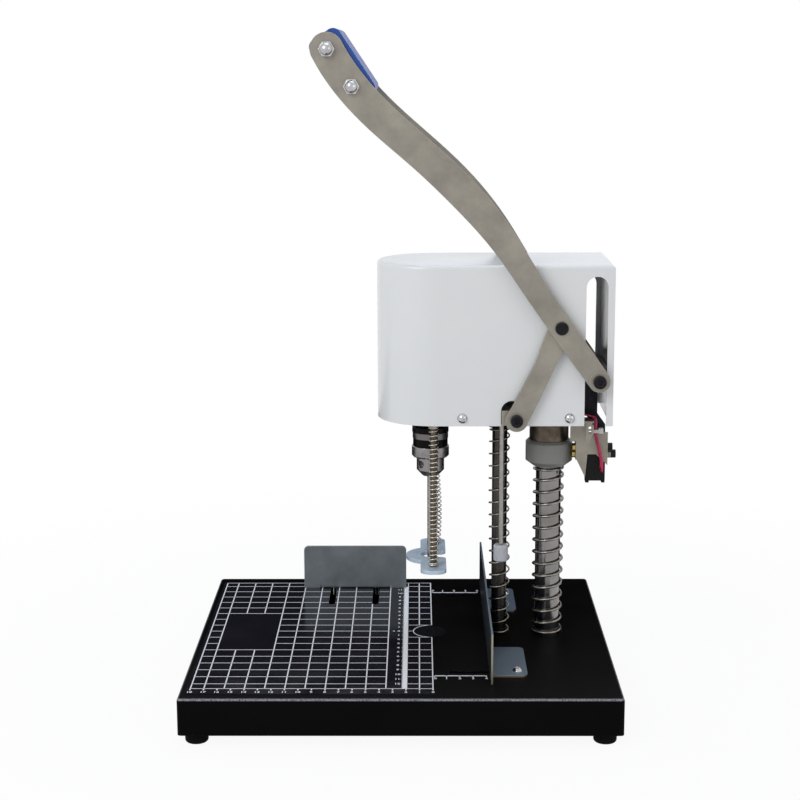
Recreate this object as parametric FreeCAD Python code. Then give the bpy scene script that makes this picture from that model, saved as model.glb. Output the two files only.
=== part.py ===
import FreeCAD, Part
import math
import os

# Bench paper drill with a hand lever.
# Millimetres. The origin is on the drill's axis at the level that the feet stand on:
# +X to the right, +Y to the back, +Z up. The head is modelled at the top of its stroke.

V = FreeCAD.Vector

# ---- shared clearances
SLIP = 0.05          # radial gap of a part in a hole of its own body
RUNNING = 0.05       # radial gap of a shaft that turns or slides in a bearing
SIDE_GAP = 0.3       # gap between the flat sides of parts that move past each other
STROKE = 62.0        # travel of the head
STROKE_MARGIN = 0.2  # what is left between the foot and the scale at the bottom of the stroke

# ---- feet and base tray
FOOT_DIAMETER = 17.4
FOOT_HEIGHT = 9.0
FOOT_INSET = 12.9
FOOT_EDGE_RADIUS = 2.2
FOOT_STEM_DIAMETER = 7.0
FOOT_BARB_DIAMETER = 9.0
FOOT_BARB_HEIGHT = 3.0

TRAY_LEFT = -187.0
TRAY_RIGHT = 141.0
TRAY_FRONT = -150.0
TRAY_BACK = 146.0
TRAY_HEIGHT = 28.7
TRAY_SHEET = 1.5
TRAY_BEND = 3.0
TRAY_LIP = 24.0
TABLE = FOOT_HEIGHT + TRAY_HEIGHT
UNDERSIDE = TABLE - TRAY_SHEET

# ---- scale film and cutting pad
FILM_SHEET = 0.3
FILM_LEFT = TRAY_LEFT + 5.0
FILM_RIGHT = 1.8
FILM_FRONT = TRAY_FRONT + 9.0
FILM_BACK = TRAY_BACK - 13.0
FILM_NOTCH_RADIUS = 14.0
PAD_DIAMETER = 25.0
PAD_HEIGHT = 8.0
PAD_GAP = 0.3
PAD_DENT_DIAMETER = 7.0
PAD_DENT_DEPTH = 0.5
CUP_WALL = 1.7
CUP_FLANGE_DIAMETER = 40.0
CUP_FLANGE_SHEET = 2.0
CUP_FLOOR = 2.0

# ---- columns
THICK_X = 94.3
THICK_DIAMETER = 20.0
THIN_X = 55.25
THIN_DIAMETER = 12.0
THICK_HEIGHT = 222.5
THIN_HEIGHT = 215.0
SPIGOT_DIAMETER = 10.0
COLUMN_CHAMFER = 0.8
COLUMN_PLATE_SHEET = 8.0
COLUMN_PLATE_PAST_THIN = 20.25
COLUMN_PLATE_PAST_THICK = 30.7
COLUMN_PLATE_HALF_WIDTH = 40.0
COLUMN_NUT_FLATS = 17.0
COLUMN_NUT_HEIGHT = 8.0

# ---- springs
MAIN_SPRING_DIAMETER = 25.0
MAIN_SPRING_WIRE = 1.7
MAIN_SPRING_PITCH = 9.8
GUIDE_SPRING_DIAMETER = 16.9
GUIDE_SPRING_WIRE = 1.3
GUIDE_SPRING_PITCH = 9.6
SPRING_END_GAP = 0.1

# ---- fulcrum of the lever, on top of the thick column
FULCRUM_X = 128.0
FULCRUM_DROP = 5.5
BRACKET_PLATE = 11.0
BRACKET_PAST_COLUMN = 14.3
BRACKET_PAST_FULCRUM = 9.0
BRACKET_TO_COVER = 6.3
FULCRUM_THREAD_LENGTH = 12.0
BRACKET_CORNER = 5.0

# ---- trip arm, which meets the switch when the head is up
ARM_FRONT = -12.2
ARM_SHEET = 3.0
ARM_LEFT = FULCRUM_X - 7.0
ARM_WIDTH = 10.0
ARM_JOG = 6.5
ARM_STRAIGHT = 27.5
ARM_SLANT = 9.0
ARM_GAP = 0.3

# ---- head plate
HEAD_ABOVE_TABLE = 181.5
PLATE_UNDER = TABLE + HEAD_ABOVE_TABLE
PLATE_SHEET = 11.5
PLATE_RIGHT = FULCRUM_X - 16.0
PLATE_TOP = PLATE_UNDER + PLATE_SHEET
HEAD_ROUND_X = 3.9
PLATE_TO_COVER = 0.5
EAR_BEHIND_LINK = 3.35
EAR_PAST_COVER = 1.5
EAR_WIDTH = 15.9
SPINDLE_HOLE_DIAMETER = 24.0

# ---- cover
COVER_HALF_WIDTH = 45.5
COVER_PAST_BRACKET = 1.3
COVER_BELOW_PLATE = 0.8
COVER_HEIGHT = 123.8
COVER_SHEET = 1.2
COVER_TOP_RADIUS = 3.0
FULCRUM_SLOT_WIDTH = 16.7
FULCRUM_SLOT_SHIFT = 1.95
FULCRUM_SLOT_ABOVE = 16.9
REAR_SLOT_ABOVE = 8.4
LINK_SLOT_GAP = 0.5
LINK_SLOT_ABOVE_PLATE = 7.5
COVER_SCREW_XS = (24.3, PLATE_RIGHT - 5.5)
COVER_SCREW_Z = PLATE_UNDER + 5.3
COVER_SCREW_DIAMETER = 4.0
COVER_SCREW_HEAD_DIAMETER = 8.0
COVER_SCREW_HEAD = 2.6
COVER_SCREW_LENGTH = 9.0
SCREW_SLOT = 1.0

# ---- bearings of the head
HOUSING_DIAMETER = 31.0
HOUSING_HEIGHT = 46.0
HOUSING_TO_BRACKET = 4.5
COLLAR_DIAMETER = 37.0
COLLAR_HEIGHT = 21.0
COLLAR_CONE = 4.2
COLLAR_END_DIAMETER = 26.0
COLLAR_ROUND = 2.0
COLLAR_GAP = 0.3
BUSH_FLANGE_DIAMETER = 20.0
BUSH_FLANGE = 10.5
BUSH_DIAMETER = 16.0
BUSH_ABOVE_PLATE = 2.0

# ---- motor and spindle
MOTOR_DIAMETER = 56.0
MOTOR_WALL = 2.0
MOTOR_HEIGHT = 72.0
MOTOR_CAP = 12.0
ARMATURE_DIAMETER = 46.0
ARMATURE_END_GAP = 6.0
SHAFT_DIAMETER = 8.0
SHAFT_INTO_CHUCK = 14.0

# ---- chuck, from the top down
CHUCK_BELOW_PLATE = 7.6
CHUCK_CAP_DIAMETER = 29.0
CHUCK_CAP_HEIGHT = 6.7
CHUCK_CAP_BEVEL = 2.8
CHUCK_CAP_BEVEL_HEIGHT = 2.4
CHUCK_BAND_DIAMETER = 28.3
CHUCK_BAND_HEIGHT = 4.9
CHUCK_SHOULDER_DIAMETER = 27.6
CHUCK_SHOULDER_HEIGHT = 6.1
CHUCK_JOURNAL_DIAMETER = 24.0
CHUCK_RING_HEIGHT = 9.4
CHUCK_RING_DIAMETER = 29.6
CHUCK_BODY_DIAMETER = 21.9
CHUCK_BODY_HEIGHT = 10.5
CHUCK_NOSE_DIAMETER = 12.8
CHUCK_NOSE_HEIGHT = 4.8
CHUCK_BORE_DIAMETER = 7.0
CHUCK_EDGE = 0.4
KEY_HOLE_DIAMETER = 6.0
KEY_HOLE_DEPTH = 4.0
RING_TEETH = 24
RING_TOOTH_DEPTH = 1.4
RING_GAP = 0.15
JAW_COUNT = 3
JAW_TURN = 45.5
JAW_DIAMETER = 3.6
JAW_TILT = 15.0
JAW_TIP_RADIUS = 3.6
JAW_PROUD = 0.8
JAW_LENGTH = 17.0
JAW_TRAVEL = 3.0
BIT_DIAMETER = 5.0
BIT_BORE_DIAMETER = 3.4
BIT_EDGE_DIAMETER = 4.6
BIT_BEVEL = 2.4
BIT_MARGIN = 0.3
BIT_INTO_CHUCK = 24.0
BIT_BORE_LENGTH = 60.0

# ---- presser that holds the paper down
FOOT_PLATE_SHEET = 3.0
FOOT_PLATE_RADIUS = 19.5
FOOT_BAR_WIDTH = 20.3
FOOT_BAR_PAST_ROD = 14.0
FOOT_BAR_CORNER = 7.5
FOOT_SLOT_CORNER = 5.0
FOOT_SLOT_WIDTH = 15.5
ROD_X = 2.15
ROD_TO_MOTOR = 1.0
ROD_DIAMETER = 5.0
ROD_ABOVE_PLATE = 8.0
CLIP_DIAMETER = 8.0
CLIP_SHEET = 1.2
PRESSER_BUSH_FLANGE_DIAMETER = 12.0
PRESSER_BUSH_FLANGE = 2.5
PRESSER_BUSH_DIAMETER = 8.5
PRESSER_WIRE = 1.1
PRESSER_PITCH = 3.3
FRONT_SPRING_DIAMETER = 7.9
REAR_SPRING_DIAMETER = 10.4
REAR_SPRING_BOW = 1.0

# ---- depth stop
STOP_ROD_X = THIN_X + 0.65
STOP_ROD_Y = -15.0
STOP_ROD_DIAMETER = 4.0
STOP_ROD_ABOVE_PLATE = 12.0
STOP_CAP_DIAMETER = 11.5
STOP_CAP_HEIGHT = 13.5
STOP_CAP_MARGIN = 2.5
STOP_CAP_FLOOR = 6.5

# ---- links and lever
LINK_X = 65.6
LINK_ABOVE_UNDERSIDE = 4.6
BAR_SHEET = 3.0
LINK_FRONT_GAP = 1.0
LINK_WIDTH = 16.8
LINK_END_RADIUS = 8.7
# edges of the link: share of the length between its holes, reach to the left and to the right of that line
LINK_EDGES = (
    (0.0, 8.4, 8.4),
    (0.24, 7.3, 9.0),
    (0.42, 6.7, 9.0),
    (0.58, 6.4, 8.8),
    (0.76, 7.6, 8.8),
    (1.0, 8.4, 8.4),
)
JOURNAL_DIAMETER = 8.0
LINK_BOLT_HEAD_DIAMETER = 9.5
LINK_BOLT_HEAD = 4.0
LINK_BOLT_DEPTH = 14.0
BOLT_THREAD_DIAMETER = 6.0
SOCKET_FLATS = 5.0
SOCKET_DEPTH = 2.5
FULCRUM_HEAD_DIAMETER = 10.0
FULCRUM_HEAD = 4.0
FULCRUM_COLLAR_DIAMETER = 10.0
WASHER_DIAMETER = 16.3
WASHER_SHEET = 0.8
PIN_HEAD_DIAMETER = 10.0
PIN_HEAD = 2.4
PIN_DIAMETER = 6.0
# centreline of the lever from the hand end to the fulcrum: X and Z from the fulcrum, half width
LEVER_LINE = (
    (-204.4, 248.0, 12.4),
    (-186.4, 220.9, 12.4),
    (-166.0, 199.1, 12.15),
    (-134.1, 171.0, 11.85),
    (-103.2, 141.7, 11.9),
    (-73.8, 107.0, 10.4),
    (-49.1, 69.6, 9.0),
    (-29.2, 40.9, 8.8),
    (0.0, 0.0, 8.4),
)
GRIP_ABOVE = 11.0
GRIP_LENGTH = 57.0
GRIP_UNDER = 11.0
GRIP_PROUD = 15.0
GRIP_ROUND = 6.0
NUT_FLATS = 10.5
NUT_HEIGHT = 4.0
NUT_DOME_DIAMETER = 9.6

# ---- switch
SWITCH_PLATE_FRONT = -17.5
SWITCH_PLATE_SHEET = 1.5
# outline of the switch plate: X from the fulcrum, drop below the head plate
SWITCH_PLATE = (
    (-18.3, 0.0), (-4.7, 0.0), (-4.7, 11.8), (11.2, 11.8), (11.2, 38.3), (2.0, 29.5),
    (-4.7, 29.5), (-6.3, 48.0), (-13.8, 32.5), (-13.8, 19.2), (-18.3, 19.2),
)
SWITCH_FLANGE_HEIGHT = 17.0
SWITCH_FLANGE_DROP = 17.0
SWITCH_FOOT_REACH = 8.0
SWITCH_LEFT_FLANGE = FULCRUM_X - 13.8
TAB_FRONT = -31.5
TAB_LEFT = FULCRUM_X - 7.3
TAB_RIGHT = FULCRUM_X - 1.4
TAB_TOP_CUT = 3.5
TAB_SIDE = 5.6
TAB_BOTTOM = PLATE_UNDER - 16.5
TAB_END = 2.0
TAB_HOLE_DIAMETER = 2.4
TAB_HOLE_HEIGHTS = (7.7, 11.2)
SWITCH_LEFT = FULCRUM_X - 5.6
SWITCH_RIGHT = FULCRUM_X + 9.5
SWITCH_TOP = PLATE_UNDER - 17.2
SWITCH_HEIGHT = 34.0
SWITCH_BOTTOM = SWITCH_TOP - SWITCH_HEIGHT
SWITCH_DEPTH = 10.3
SWITCH_LEG = 1.8
SWITCH_LEG_WIDTH = 2.6
SWITCH_LEG_INSET = 1.0
SWITCH_ROUND = 3.0
PLUNGER_X = FULCRUM_X + 3.5
PLUNGER_WIDTH = 4.0
PLUNGER_DEPTH = 3.0
PLUNGER_RISE = 1.8
PLUNGER_TRAVEL = 1.5
PLUNGER_GAP = 0.1
PLUNGER_WELL = 2.6
PLUNGER_FLOOR_GAP = 0.3
SWITCH_SPACER = 3.0
# Y and Z of each screw, and how far its head stands off the bracket
SWITCH_SCREWS = ((-13.0, SWITCH_TOP - 7.3, 0.0), (-9.5, SWITCH_TOP - 13.5, SWITCH_SPACER))
SWITCH_SCREW_DIAMETER = 3.0
SWITCH_SCREW_HEAD_DIAMETER = 6.6
SWITCH_SCREW_HEAD = 4.0
SWITCH_SCREW_SOCKET = 1.6
SWITCH_SCREW_END = SWITCH_LEFT_FLANGE - 2.9
SWITCH_NUT_FLATS = 5.5
SWITCH_NUT_HEIGHT = 2.4
LEAD_DIAMETER = 1.8
LEAD_SPACING = 0.8
LEAD_PAIR = 2.1
LEAD_Y = -21.2
LEAD_X = FULCRUM_X + 0.8
LEAD_END_X = FULCRUM_X + 6.2
LEAD_END_RISE = 10.7
LEAD_END_DROP = 2.2
LEAD_KNEE = PLATE_UNDER - 34.0
LEAD_TURN = PLATE_UNDER + 1.3
LEAD_RISER_X = FULCRUM_X - 13.0
LEAD_RISER = PLATE_UNDER + 4.8
LEAD_ABOVE_PLATE = 8.0
LEAD_STAGGER = 3.0
LEAD_BEND = 3.5
TIE_Z = PLATE_UNDER - 10.9
TIE_WIDTH = 2.5
TIE_SHEET = 0.8
TIE_GAP = 0.4
TIE_LOCK = 3.6
GLAND_TO_FULCRUM = 24.0
GLAND_X = FULCRUM_X - GLAND_TO_FULCRUM
GLAND_Z = PLATE_TOP + 13.0
GLAND_DIAMETER = 16.0
GLAND_THREAD_DIAMETER = 12.0
GLAND_BORE_DIAMETER = 7.0
GLAND_REACH = 12.0
GLAND_NUT = 4.0

# ---- paper stop on the right and fence at the back
STOP_TO_SPRING = 1.0
STOP_SHEET = 1.5
STOP_FRONT = -121.0
STOP_BACK = 127.0
STOP_HEIGHT = 39.0
STOP_FLANGES = ((-106.0, -42.0), (50.0, 111.0))
STOP_FLANGE_REACH = 28.5
STOP_CORNER = 5.0
STOP_SCREW_INSET = 7.3
STOP_SCREW_Y = 94.5
STOP_SLOT_LENGTH = 56.6
STOP_SLOT_PAST_SCREW = 4.5
STOP_SLOT_WIDTH = 4.6
FENCE_LEFT = -110.0
FENCE_RIGHT = -20.4
FENCE_FRONT = FILM_BACK - 17.0
FENCE_SHEET = 1.5
FENCE_HEIGHT = 38.15
FENCE_CORNER = 4.0
FENCE_GAP = 0.05
FENCE_FLANGE_INSET = 14.2
FENCE_FLANGE_DEPTH = 20.0
FENCE_BEND = 1.4
FENCE_NOTCH_WIDTH = 1.0
FENCE_NOTCH_HEIGHT = 2.5
FENCE_SCREW_INSET = 26.2
FENCE_SCREW_BEHIND = 12.0
FENCE_SLOT_LENGTH = 70.1
FENCE_SLOT_PAST_SCREW = 12.0
FENCE_SLOT_WIDTH = 5.5
CLAMP_SCREW_DIAMETER = 4.0
CLAMP_SCREW_HEAD_DIAMETER = 8.0
CLAMP_SCREW_HEAD = 2.6
CLAMP_SCREW_BELOW = 8.0
CLAMP_NUT_SIZE = 8.0
CLAMP_NUT_HEIGHT = 3.2
CLAMP_NUT_GAP = 0.2

# ---- heights and planes that follow from the sizes above
THIN_TOP = TABLE + THIN_HEIGHT
COLUMN_PLATE_LEFT = THIN_X - COLUMN_PLATE_PAST_THIN
COLUMN_PLATE_RIGHT = THICK_X + COLUMN_PLATE_PAST_THICK
BRACKET_TOP = TABLE + THICK_HEIGHT
BRACKET_UNDER = BRACKET_TOP - BRACKET_PLATE
BRACKET_LEFT = THICK_X - BRACKET_PAST_COLUMN
BRACKET_RIGHT = FULCRUM_X + BRACKET_PAST_FULCRUM
FULCRUM_Z = BRACKET_TOP - FULCRUM_DROP
COVER_INNER = COVER_HALF_WIDTH - COVER_SHEET
COVER_RIGHT = BRACKET_RIGHT + COVER_PAST_BRACKET + COVER_SHEET
COVER_BOTTOM = PLATE_UNDER - COVER_BELOW_PLATE
COVER_TOP = COVER_BOTTOM + COVER_HEIGHT
BRACKET_HALF_WIDTH = COVER_INNER - BRACKET_TO_COVER
FULCRUM_SLOT_X = FULCRUM_X - FULCRUM_SLOT_SHIFT
FULCRUM_SLOT_TOP = FULCRUM_Z + STROKE + FULCRUM_SLOT_ABOVE
REAR_SLOT_TOP = FULCRUM_Z + STROKE + REAR_SLOT_ABOVE
LINK_SLOT_TOP = PLATE_TOP + LINK_SLOT_ABOVE_PLATE
PLATE_HALF_WIDTH = COVER_INNER - PLATE_TO_COVER
LINK_Z = PLATE_UNDER + LINK_ABOVE_UNDERSIDE
EAR_X = LINK_X - EAR_BEHIND_LINK
EAR_REACH = COVER_HALF_WIDTH + EAR_PAST_COVER
LINK_INNER = EAR_REACH + LINK_FRONT_GAP
LINK_OUTER = LINK_INNER + BAR_SHEET
LEVER_INNER = LINK_OUTER + SIDE_GAP
LEVER_OUTER = LEVER_INNER + BAR_SHEET
LEVER_POINTS = [V(FULCRUM_X + dx, 0, FULCRUM_Z + dz) for dx, dz, half in LEVER_LINE]
LEVER_HALVES = [half for dx, dz, half in LEVER_LINE]
PIVOT_X = LEVER_POINTS[-2].x
PIVOT_Z = LEVER_POINTS[-2].z
HOUSING_TOP = BRACKET_UNDER - HOUSING_TO_BRACKET
HOUSING_BOTTOM = HOUSING_TOP - HOUSING_HEIGHT
COLLAR_BOTTOM = HOUSING_BOTTOM - COLLAR_HEIGHT
BUSH_FLANGE_BOTTOM = PLATE_UNDER - BUSH_FLANGE
BUSH_TOP = PLATE_TOP + BUSH_ABOVE_PLATE
PAD_TOP = TABLE
FOOT_PLATE_BOTTOM = TABLE + FILM_SHEET + STROKE_MARGIN + STROKE
FOOT_PLATE_TOP = FOOT_PLATE_BOTTOM + FOOT_PLATE_SHEET
ROD_Y = MOTOR_DIAMETER / 2 + ROD_TO_MOTOR + CLIP_DIAMETER / 2
BIT_TIP = PAD_TOP + STROKE + BIT_MARGIN
STOP_CAP_BOTTOM = TABLE + STROKE + STOP_CAP_MARGIN
STOP_ROD_TOP = PLATE_TOP + STOP_ROD_ABOVE_PLATE
CHUCK_TOP = PLATE_UNDER - CHUCK_BELOW_PLATE
CHUCK_BAND_TOP = CHUCK_TOP - CHUCK_CAP_HEIGHT
CHUCK_SHOULDER_TOP = CHUCK_BAND_TOP - CHUCK_BAND_HEIGHT
CHUCK_RING_TOP = CHUCK_SHOULDER_TOP - CHUCK_SHOULDER_HEIGHT
CHUCK_RING_BOTTOM = CHUCK_RING_TOP - CHUCK_RING_HEIGHT
CHUCK_CONE_TOP = CHUCK_RING_BOTTOM - CHUCK_BODY_HEIGHT
CHUCK_NOSE = CHUCK_CONE_TOP - CHUCK_NOSE_HEIGHT
BIT_TOP = CHUCK_NOSE + BIT_INTO_CHUCK
MOTOR_TOP = PLATE_TOP + MOTOR_HEIGHT
SWITCH_FRONT = SWITCH_PLATE_FRONT + SWITCH_PLATE_SHEET + SLIP
SWITCH_REAR = SWITCH_FRONT + SWITCH_DEPTH
SWITCH_BRACKET_LEFT = FULCRUM_X + min(dx for dx, drop in SWITCH_PLATE)
SWITCH_BRACKET_RIGHT = FULCRUM_X + max(dx for dx, drop in SWITCH_PLATE)
PLUNGER_TOP = SWITCH_TOP + PLUNGER_RISE
ARM_BOTTOM = PLUNGER_TOP + ARM_GAP
STOP_LEFT = THIN_X - GUIDE_SPRING_DIAMETER / 2 - STOP_TO_SPRING - STOP_SHEET
STOP_FLANGE_RIGHT = STOP_LEFT + STOP_FLANGE_REACH
STOP_SCREW_X = STOP_FLANGE_RIGHT - STOP_SCREW_INSET
STOP_SLOT_RIGHT = STOP_SCREW_X + STOP_SLOT_PAST_SCREW
STOP_SLOT_LEFT = STOP_SLOT_RIGHT - STOP_SLOT_LENGTH
FENCE_BOTTOM = TABLE + FILM_SHEET + FENCE_GAP
FENCE_SCREW_XS = (FENCE_LEFT + FENCE_SCREW_INSET, FENCE_RIGHT - FENCE_SCREW_INSET)
FENCE_SCREW_Y = FENCE_FRONT + FENCE_SCREW_BEHIND
FENCE_SLOT_BACK = FENCE_SCREW_Y + FENCE_SLOT_PAST_SCREW
FENCE_SLOT_FRONT = FENCE_SLOT_BACK - FENCE_SLOT_LENGTH
SIDES = (-1, 1)


# ---- helpers
def block(x0, x1, y0, y1, z0, z1):
    return Part.makeBox(x1 - x0, y1 - y0, z1 - z0, V(x0, y0, z0))


def rod(diameter, x, y, z0, z1):
    return Part.makeCylinder(diameter / 2, z1 - z0, V(x, y, z0))


def rod_y(diameter, x, z, y0, y1):
    return Part.makeCylinder(diameter / 2, y1 - y0, V(x, y0, z), V(0, 1, 0))


def rod_x(diameter, y, z, x0, x1):
    return Part.makeCylinder(diameter / 2, x1 - x0, V(x0, y, z), V(1, 0, 0))


def polygon(points):
    return Part.Wire(Part.makePolygon(list(points) + [points[0]]).Edges)


def upright(outline, y0, y1):
    """A plate in an XZ plane from its outline of (x, z) points."""
    face = Part.Face(polygon([V(x, y0, z) for x, z in outline]))
    return face.extrude(V(0, y1 - y0, 0))


def turned(profile, x=0.0, y=0.0):
    """A solid of revolution about a vertical axis from (radius, z) points."""
    face = Part.Face(polygon([V(r, 0, z) for r, z in profile]))
    solid = face.revolve(V(0, 0, 0), V(0, 0, 1), 360)
    solid.translate(V(x, y, 0))
    return solid


def hexagon(flats, centre, axis, height):
    """A hexagonal prism that starts at centre and runs along axis."""
    corner = flats / math.sqrt(3)
    points = [V(corner * math.cos(math.radians(a)), corner * math.sin(math.radians(a)), 0)
              for a in range(0, 360, 60)]
    prism = Part.Face(polygon(points)).extrude(V(0, 0, height))
    prism.Placement = FreeCAD.Placement(centre, FreeCAD.Rotation(V(0, 0, 1), axis))
    return prism


def slot_x(width, x0, x1, y, z0, z1):
    """A round-ended slot along X."""
    r = width / 2
    middle = block(x0 + r, x1 - r, y - r, y + r, z0, z1)
    return middle.fuse([rod(width, x0 + r, y, z0, z1), rod(width, x1 - r, y, z0, z1)])


def slot_y(width, x, y0, y1, z0, z1):
    """A round-ended slot along Y."""
    r = width / 2
    middle = block(x - r, x + r, y0 + r, y1 - r, z0, z1)
    return middle.fuse([rod(width, x, y0 + r, z0, z1), rod(width, x, y1 - r, z0, z1)])


def edges_where(solid, test):
    """The edges whose bounding box passes the test."""
    return [e for e in solid.Edges if test(e.BoundBox)]


def round_corners(solid, radius):
    """Fillet the vertical edges of an upright prism."""
    return solid.makeFillet(radius, edges_where(solid, lambda b: b.ZLength > 0 and b.XLength < 1e-6
                                                and b.YLength < 1e-6))


def round_upright(solid, radius, z_low):
    """Fillet the edges of a plate in an XZ plane that run through it above z_low."""
    return solid.makeFillet(radius, edges_where(solid, lambda b: b.YLength > 0 and b.XLength < 1e-6
                                                and b.ZLength < 1e-6 and b.ZMin > z_low))


def coil(diameter, wire, pitch, x, y, z0, z1):
    """A helical spring of round wire between two heights."""
    radius = (diameter - wire) / 2
    bottom = z0 + SPRING_END_GAP + wire / 2
    path = Part.makeHelix(pitch, z1 - z0 - 2 * SPRING_END_GAP - wire, radius)
    lead = pitch / (2 * math.pi * radius)
    section = Part.Wire([Part.makeCircle(wire / 2, V(radius, 0, 0), V(0, 1, lead))])
    spring = Part.Wire(path.Edges).makePipeShell([section], True, True)
    spring.translate(V(x, y, bottom))
    return spring


def mirrored(solid):
    return solid.mirror(V(0, 0, 0), V(0, 1, 0))


def pair(solid):
    """A piece at the front and its twin at the rear."""
    return [solid, mirrored(solid)]


# ---- stand
def base_tray():
    outer = block(TRAY_LEFT, TRAY_RIGHT, TRAY_FRONT, TRAY_BACK, FOOT_HEIGHT, TABLE)
    outer = round_corners(outer, TRAY_BEND)
    outer = outer.makeFillet(TRAY_BEND - SIDE_GAP, edges_where(outer, lambda b: b.ZMin > TABLE - 1e-3))
    t = TRAY_SHEET
    hollow = block(TRAY_LEFT + t, TRAY_RIGHT - t, TRAY_FRONT + t, TRAY_BACK - t, FOOT_HEIGHT + t, UNDERSIDE)
    hollow = round_corners(hollow, TRAY_BEND - t)
    lip = TRAY_LIP
    mouth = block(TRAY_LEFT + lip, TRAY_RIGHT - lip, TRAY_FRONT + lip, TRAY_BACK - lip,
                  FOOT_HEIGHT - 1, FOOT_HEIGHT + t + 1)
    tray = outer.cut(hollow).cut(round_corners(mouth, TRAY_BEND))
    holes = [rod(PAD_DIAMETER + 2 * PAD_GAP, 0, 0, UNDERSIDE - 1, TABLE + 1)]
    for x in (THICK_X, THIN_X):
        holes.append(rod(SPIGOT_DIAMETER + 2 * SLIP, x, 0, UNDERSIDE - 1, TABLE + 1))
    for side in SIDES:
        holes.append(slot_x(STOP_SLOT_WIDTH, STOP_SLOT_LEFT, STOP_SLOT_RIGHT, side * STOP_SCREW_Y,
                            UNDERSIDE - 1, TABLE + 1))
    for x in FENCE_SCREW_XS:
        holes.append(slot_y(FENCE_SLOT_WIDTH, x, FENCE_SLOT_FRONT, FENCE_SLOT_BACK,
                            UNDERSIDE - 1, TABLE + 1))
    for x, y in foot_places():
        holes.append(rod(FOOT_STEM_DIAMETER + 2 * SLIP, x, y, FOOT_HEIGHT - 1, FOOT_HEIGHT + t + 1))
    return tray.cut(holes)


def foot_places():
    xs = (TRAY_LEFT + FOOT_INSET, TRAY_RIGHT - FOOT_INSET)
    ys = (TRAY_FRONT + FOOT_INSET, TRAY_BACK - FOOT_INSET)
    return [(x, y) for x in xs for y in ys]


def feet():
    r = FOOT_DIAMETER / 2
    stem = FOOT_STEM_DIAMETER / 2
    barb = FOOT_BARB_DIAMETER / 2
    top = FOOT_HEIGHT + TRAY_SHEET + SLIP
    low = FOOT_HEIGHT - SLIP
    profile = ((0, 0), (r, 0), (r, low), (stem, low), (stem, top), (barb, top),
               (stem - 1, top + FOOT_BARB_HEIGHT), (0, top + FOOT_BARB_HEIGHT))
    bodies = []
    for x, y in foot_places():
        body = turned(profile, x, y)
        lower_edge = edges_where(body, lambda b: b.ZMax < 1e-3 and b.XLength > r)
        bodies.append(body.makeFillet(FOOT_EDGE_RADIUS, lower_edge))
    return bodies


def scale_film():
    film = block(FILM_LEFT, FILM_RIGHT, FILM_FRONT, FILM_BACK, TABLE, TABLE + FILM_SHEET)
    r = FILM_NOTCH_RADIUS
    cuts = [rod(2 * r, 0, 0, TABLE - 1, TABLE + 1), block(0, FILM_RIGHT + 1, -r, r, TABLE - 1, TABLE + 1)]
    for x in FENCE_SCREW_XS:
        cuts.append(slot_y(FENCE_SLOT_WIDTH, x, FENCE_SLOT_FRONT, FENCE_SLOT_BACK, TABLE - 1, TABLE + 1))
    return film.cut(cuts)


def cutting_pad():
    pad = rod(PAD_DIAMETER, 0, 0, PAD_TOP - PAD_HEIGHT, PAD_TOP)
    dent = Part.makeCone(PAD_DENT_DIAMETER / 2 - PAD_DENT_DEPTH, PAD_DENT_DIAMETER / 2 + PAD_DENT_DEPTH,
                         2 * PAD_DENT_DEPTH, V(0, 0, PAD_TOP - PAD_DENT_DEPTH))
    return pad.cut(dent)


def pad_cup():
    inner = PAD_DIAMETER / 2 + PAD_GAP
    seat = PAD_TOP - PAD_HEIGHT
    flange = CUP_FLANGE_DIAMETER / 2
    profile = ((0, seat - CUP_FLOOR), (inner + CUP_WALL, seat - CUP_FLOOR),
               (inner + CUP_WALL, UNDERSIDE - CUP_FLANGE_SHEET), (flange, UNDERSIDE - CUP_FLANGE_SHEET),
               (flange, UNDERSIDE), (inner, UNDERSIDE), (inner, seat), (0, seat))
    return turned(profile)


def column_plate():
    plate = block(COLUMN_PLATE_LEFT, COLUMN_PLATE_RIGHT, -COLUMN_PLATE_HALF_WIDTH, COLUMN_PLATE_HALF_WIDTH,
                  UNDERSIDE - COLUMN_PLATE_SHEET, UNDERSIDE)
    holes = [rod(SPIGOT_DIAMETER + 2 * SLIP, x, 0, UNDERSIDE - COLUMN_PLATE_SHEET - 1, UNDERSIDE + 1)
             for x in (THICK_X, THIN_X)]
    return plate.cut(holes)


def column(x, diameter, top):
    r = diameter / 2
    c = COLUMN_CHAMFER
    s = SPIGOT_DIAMETER / 2
    end = UNDERSIDE - COLUMN_PLATE_SHEET - COLUMN_NUT_HEIGHT - 2
    profile = ((0, end), (s - c, end), (s, end + c), (s, TABLE), (r, TABLE), (r, top - c), (r - c, top),
               (0, top))
    return turned(profile, x)


def thick_column():
    return column(THICK_X, THICK_DIAMETER, BRACKET_TOP)


def thin_column():
    return column(THIN_X, THIN_DIAMETER, THIN_TOP)


def column_nuts():
    top = UNDERSIDE - COLUMN_PLATE_SHEET
    nuts = []
    for x in (THICK_X, THIN_X):
        nut = hexagon(COLUMN_NUT_FLATS, V(x, 0, top - COLUMN_NUT_HEIGHT), V(0, 0, 1), COLUMN_NUT_HEIGHT)
        nuts.append(nut.cut(rod(SPIGOT_DIAMETER + 2 * SLIP, x, 0, top - COLUMN_NUT_HEIGHT - 1, top + 1)))
    return nuts


def main_spring():
    return coil(MAIN_SPRING_DIAMETER, MAIN_SPRING_WIRE, MAIN_SPRING_PITCH, THICK_X, 0, TABLE, COLLAR_BOTTOM)


def guide_spring():
    return coil(GUIDE_SPRING_DIAMETER, GUIDE_SPRING_WIRE, GUIDE_SPRING_PITCH, THIN_X, 0, TABLE,
                BUSH_FLANGE_BOTTOM)


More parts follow.
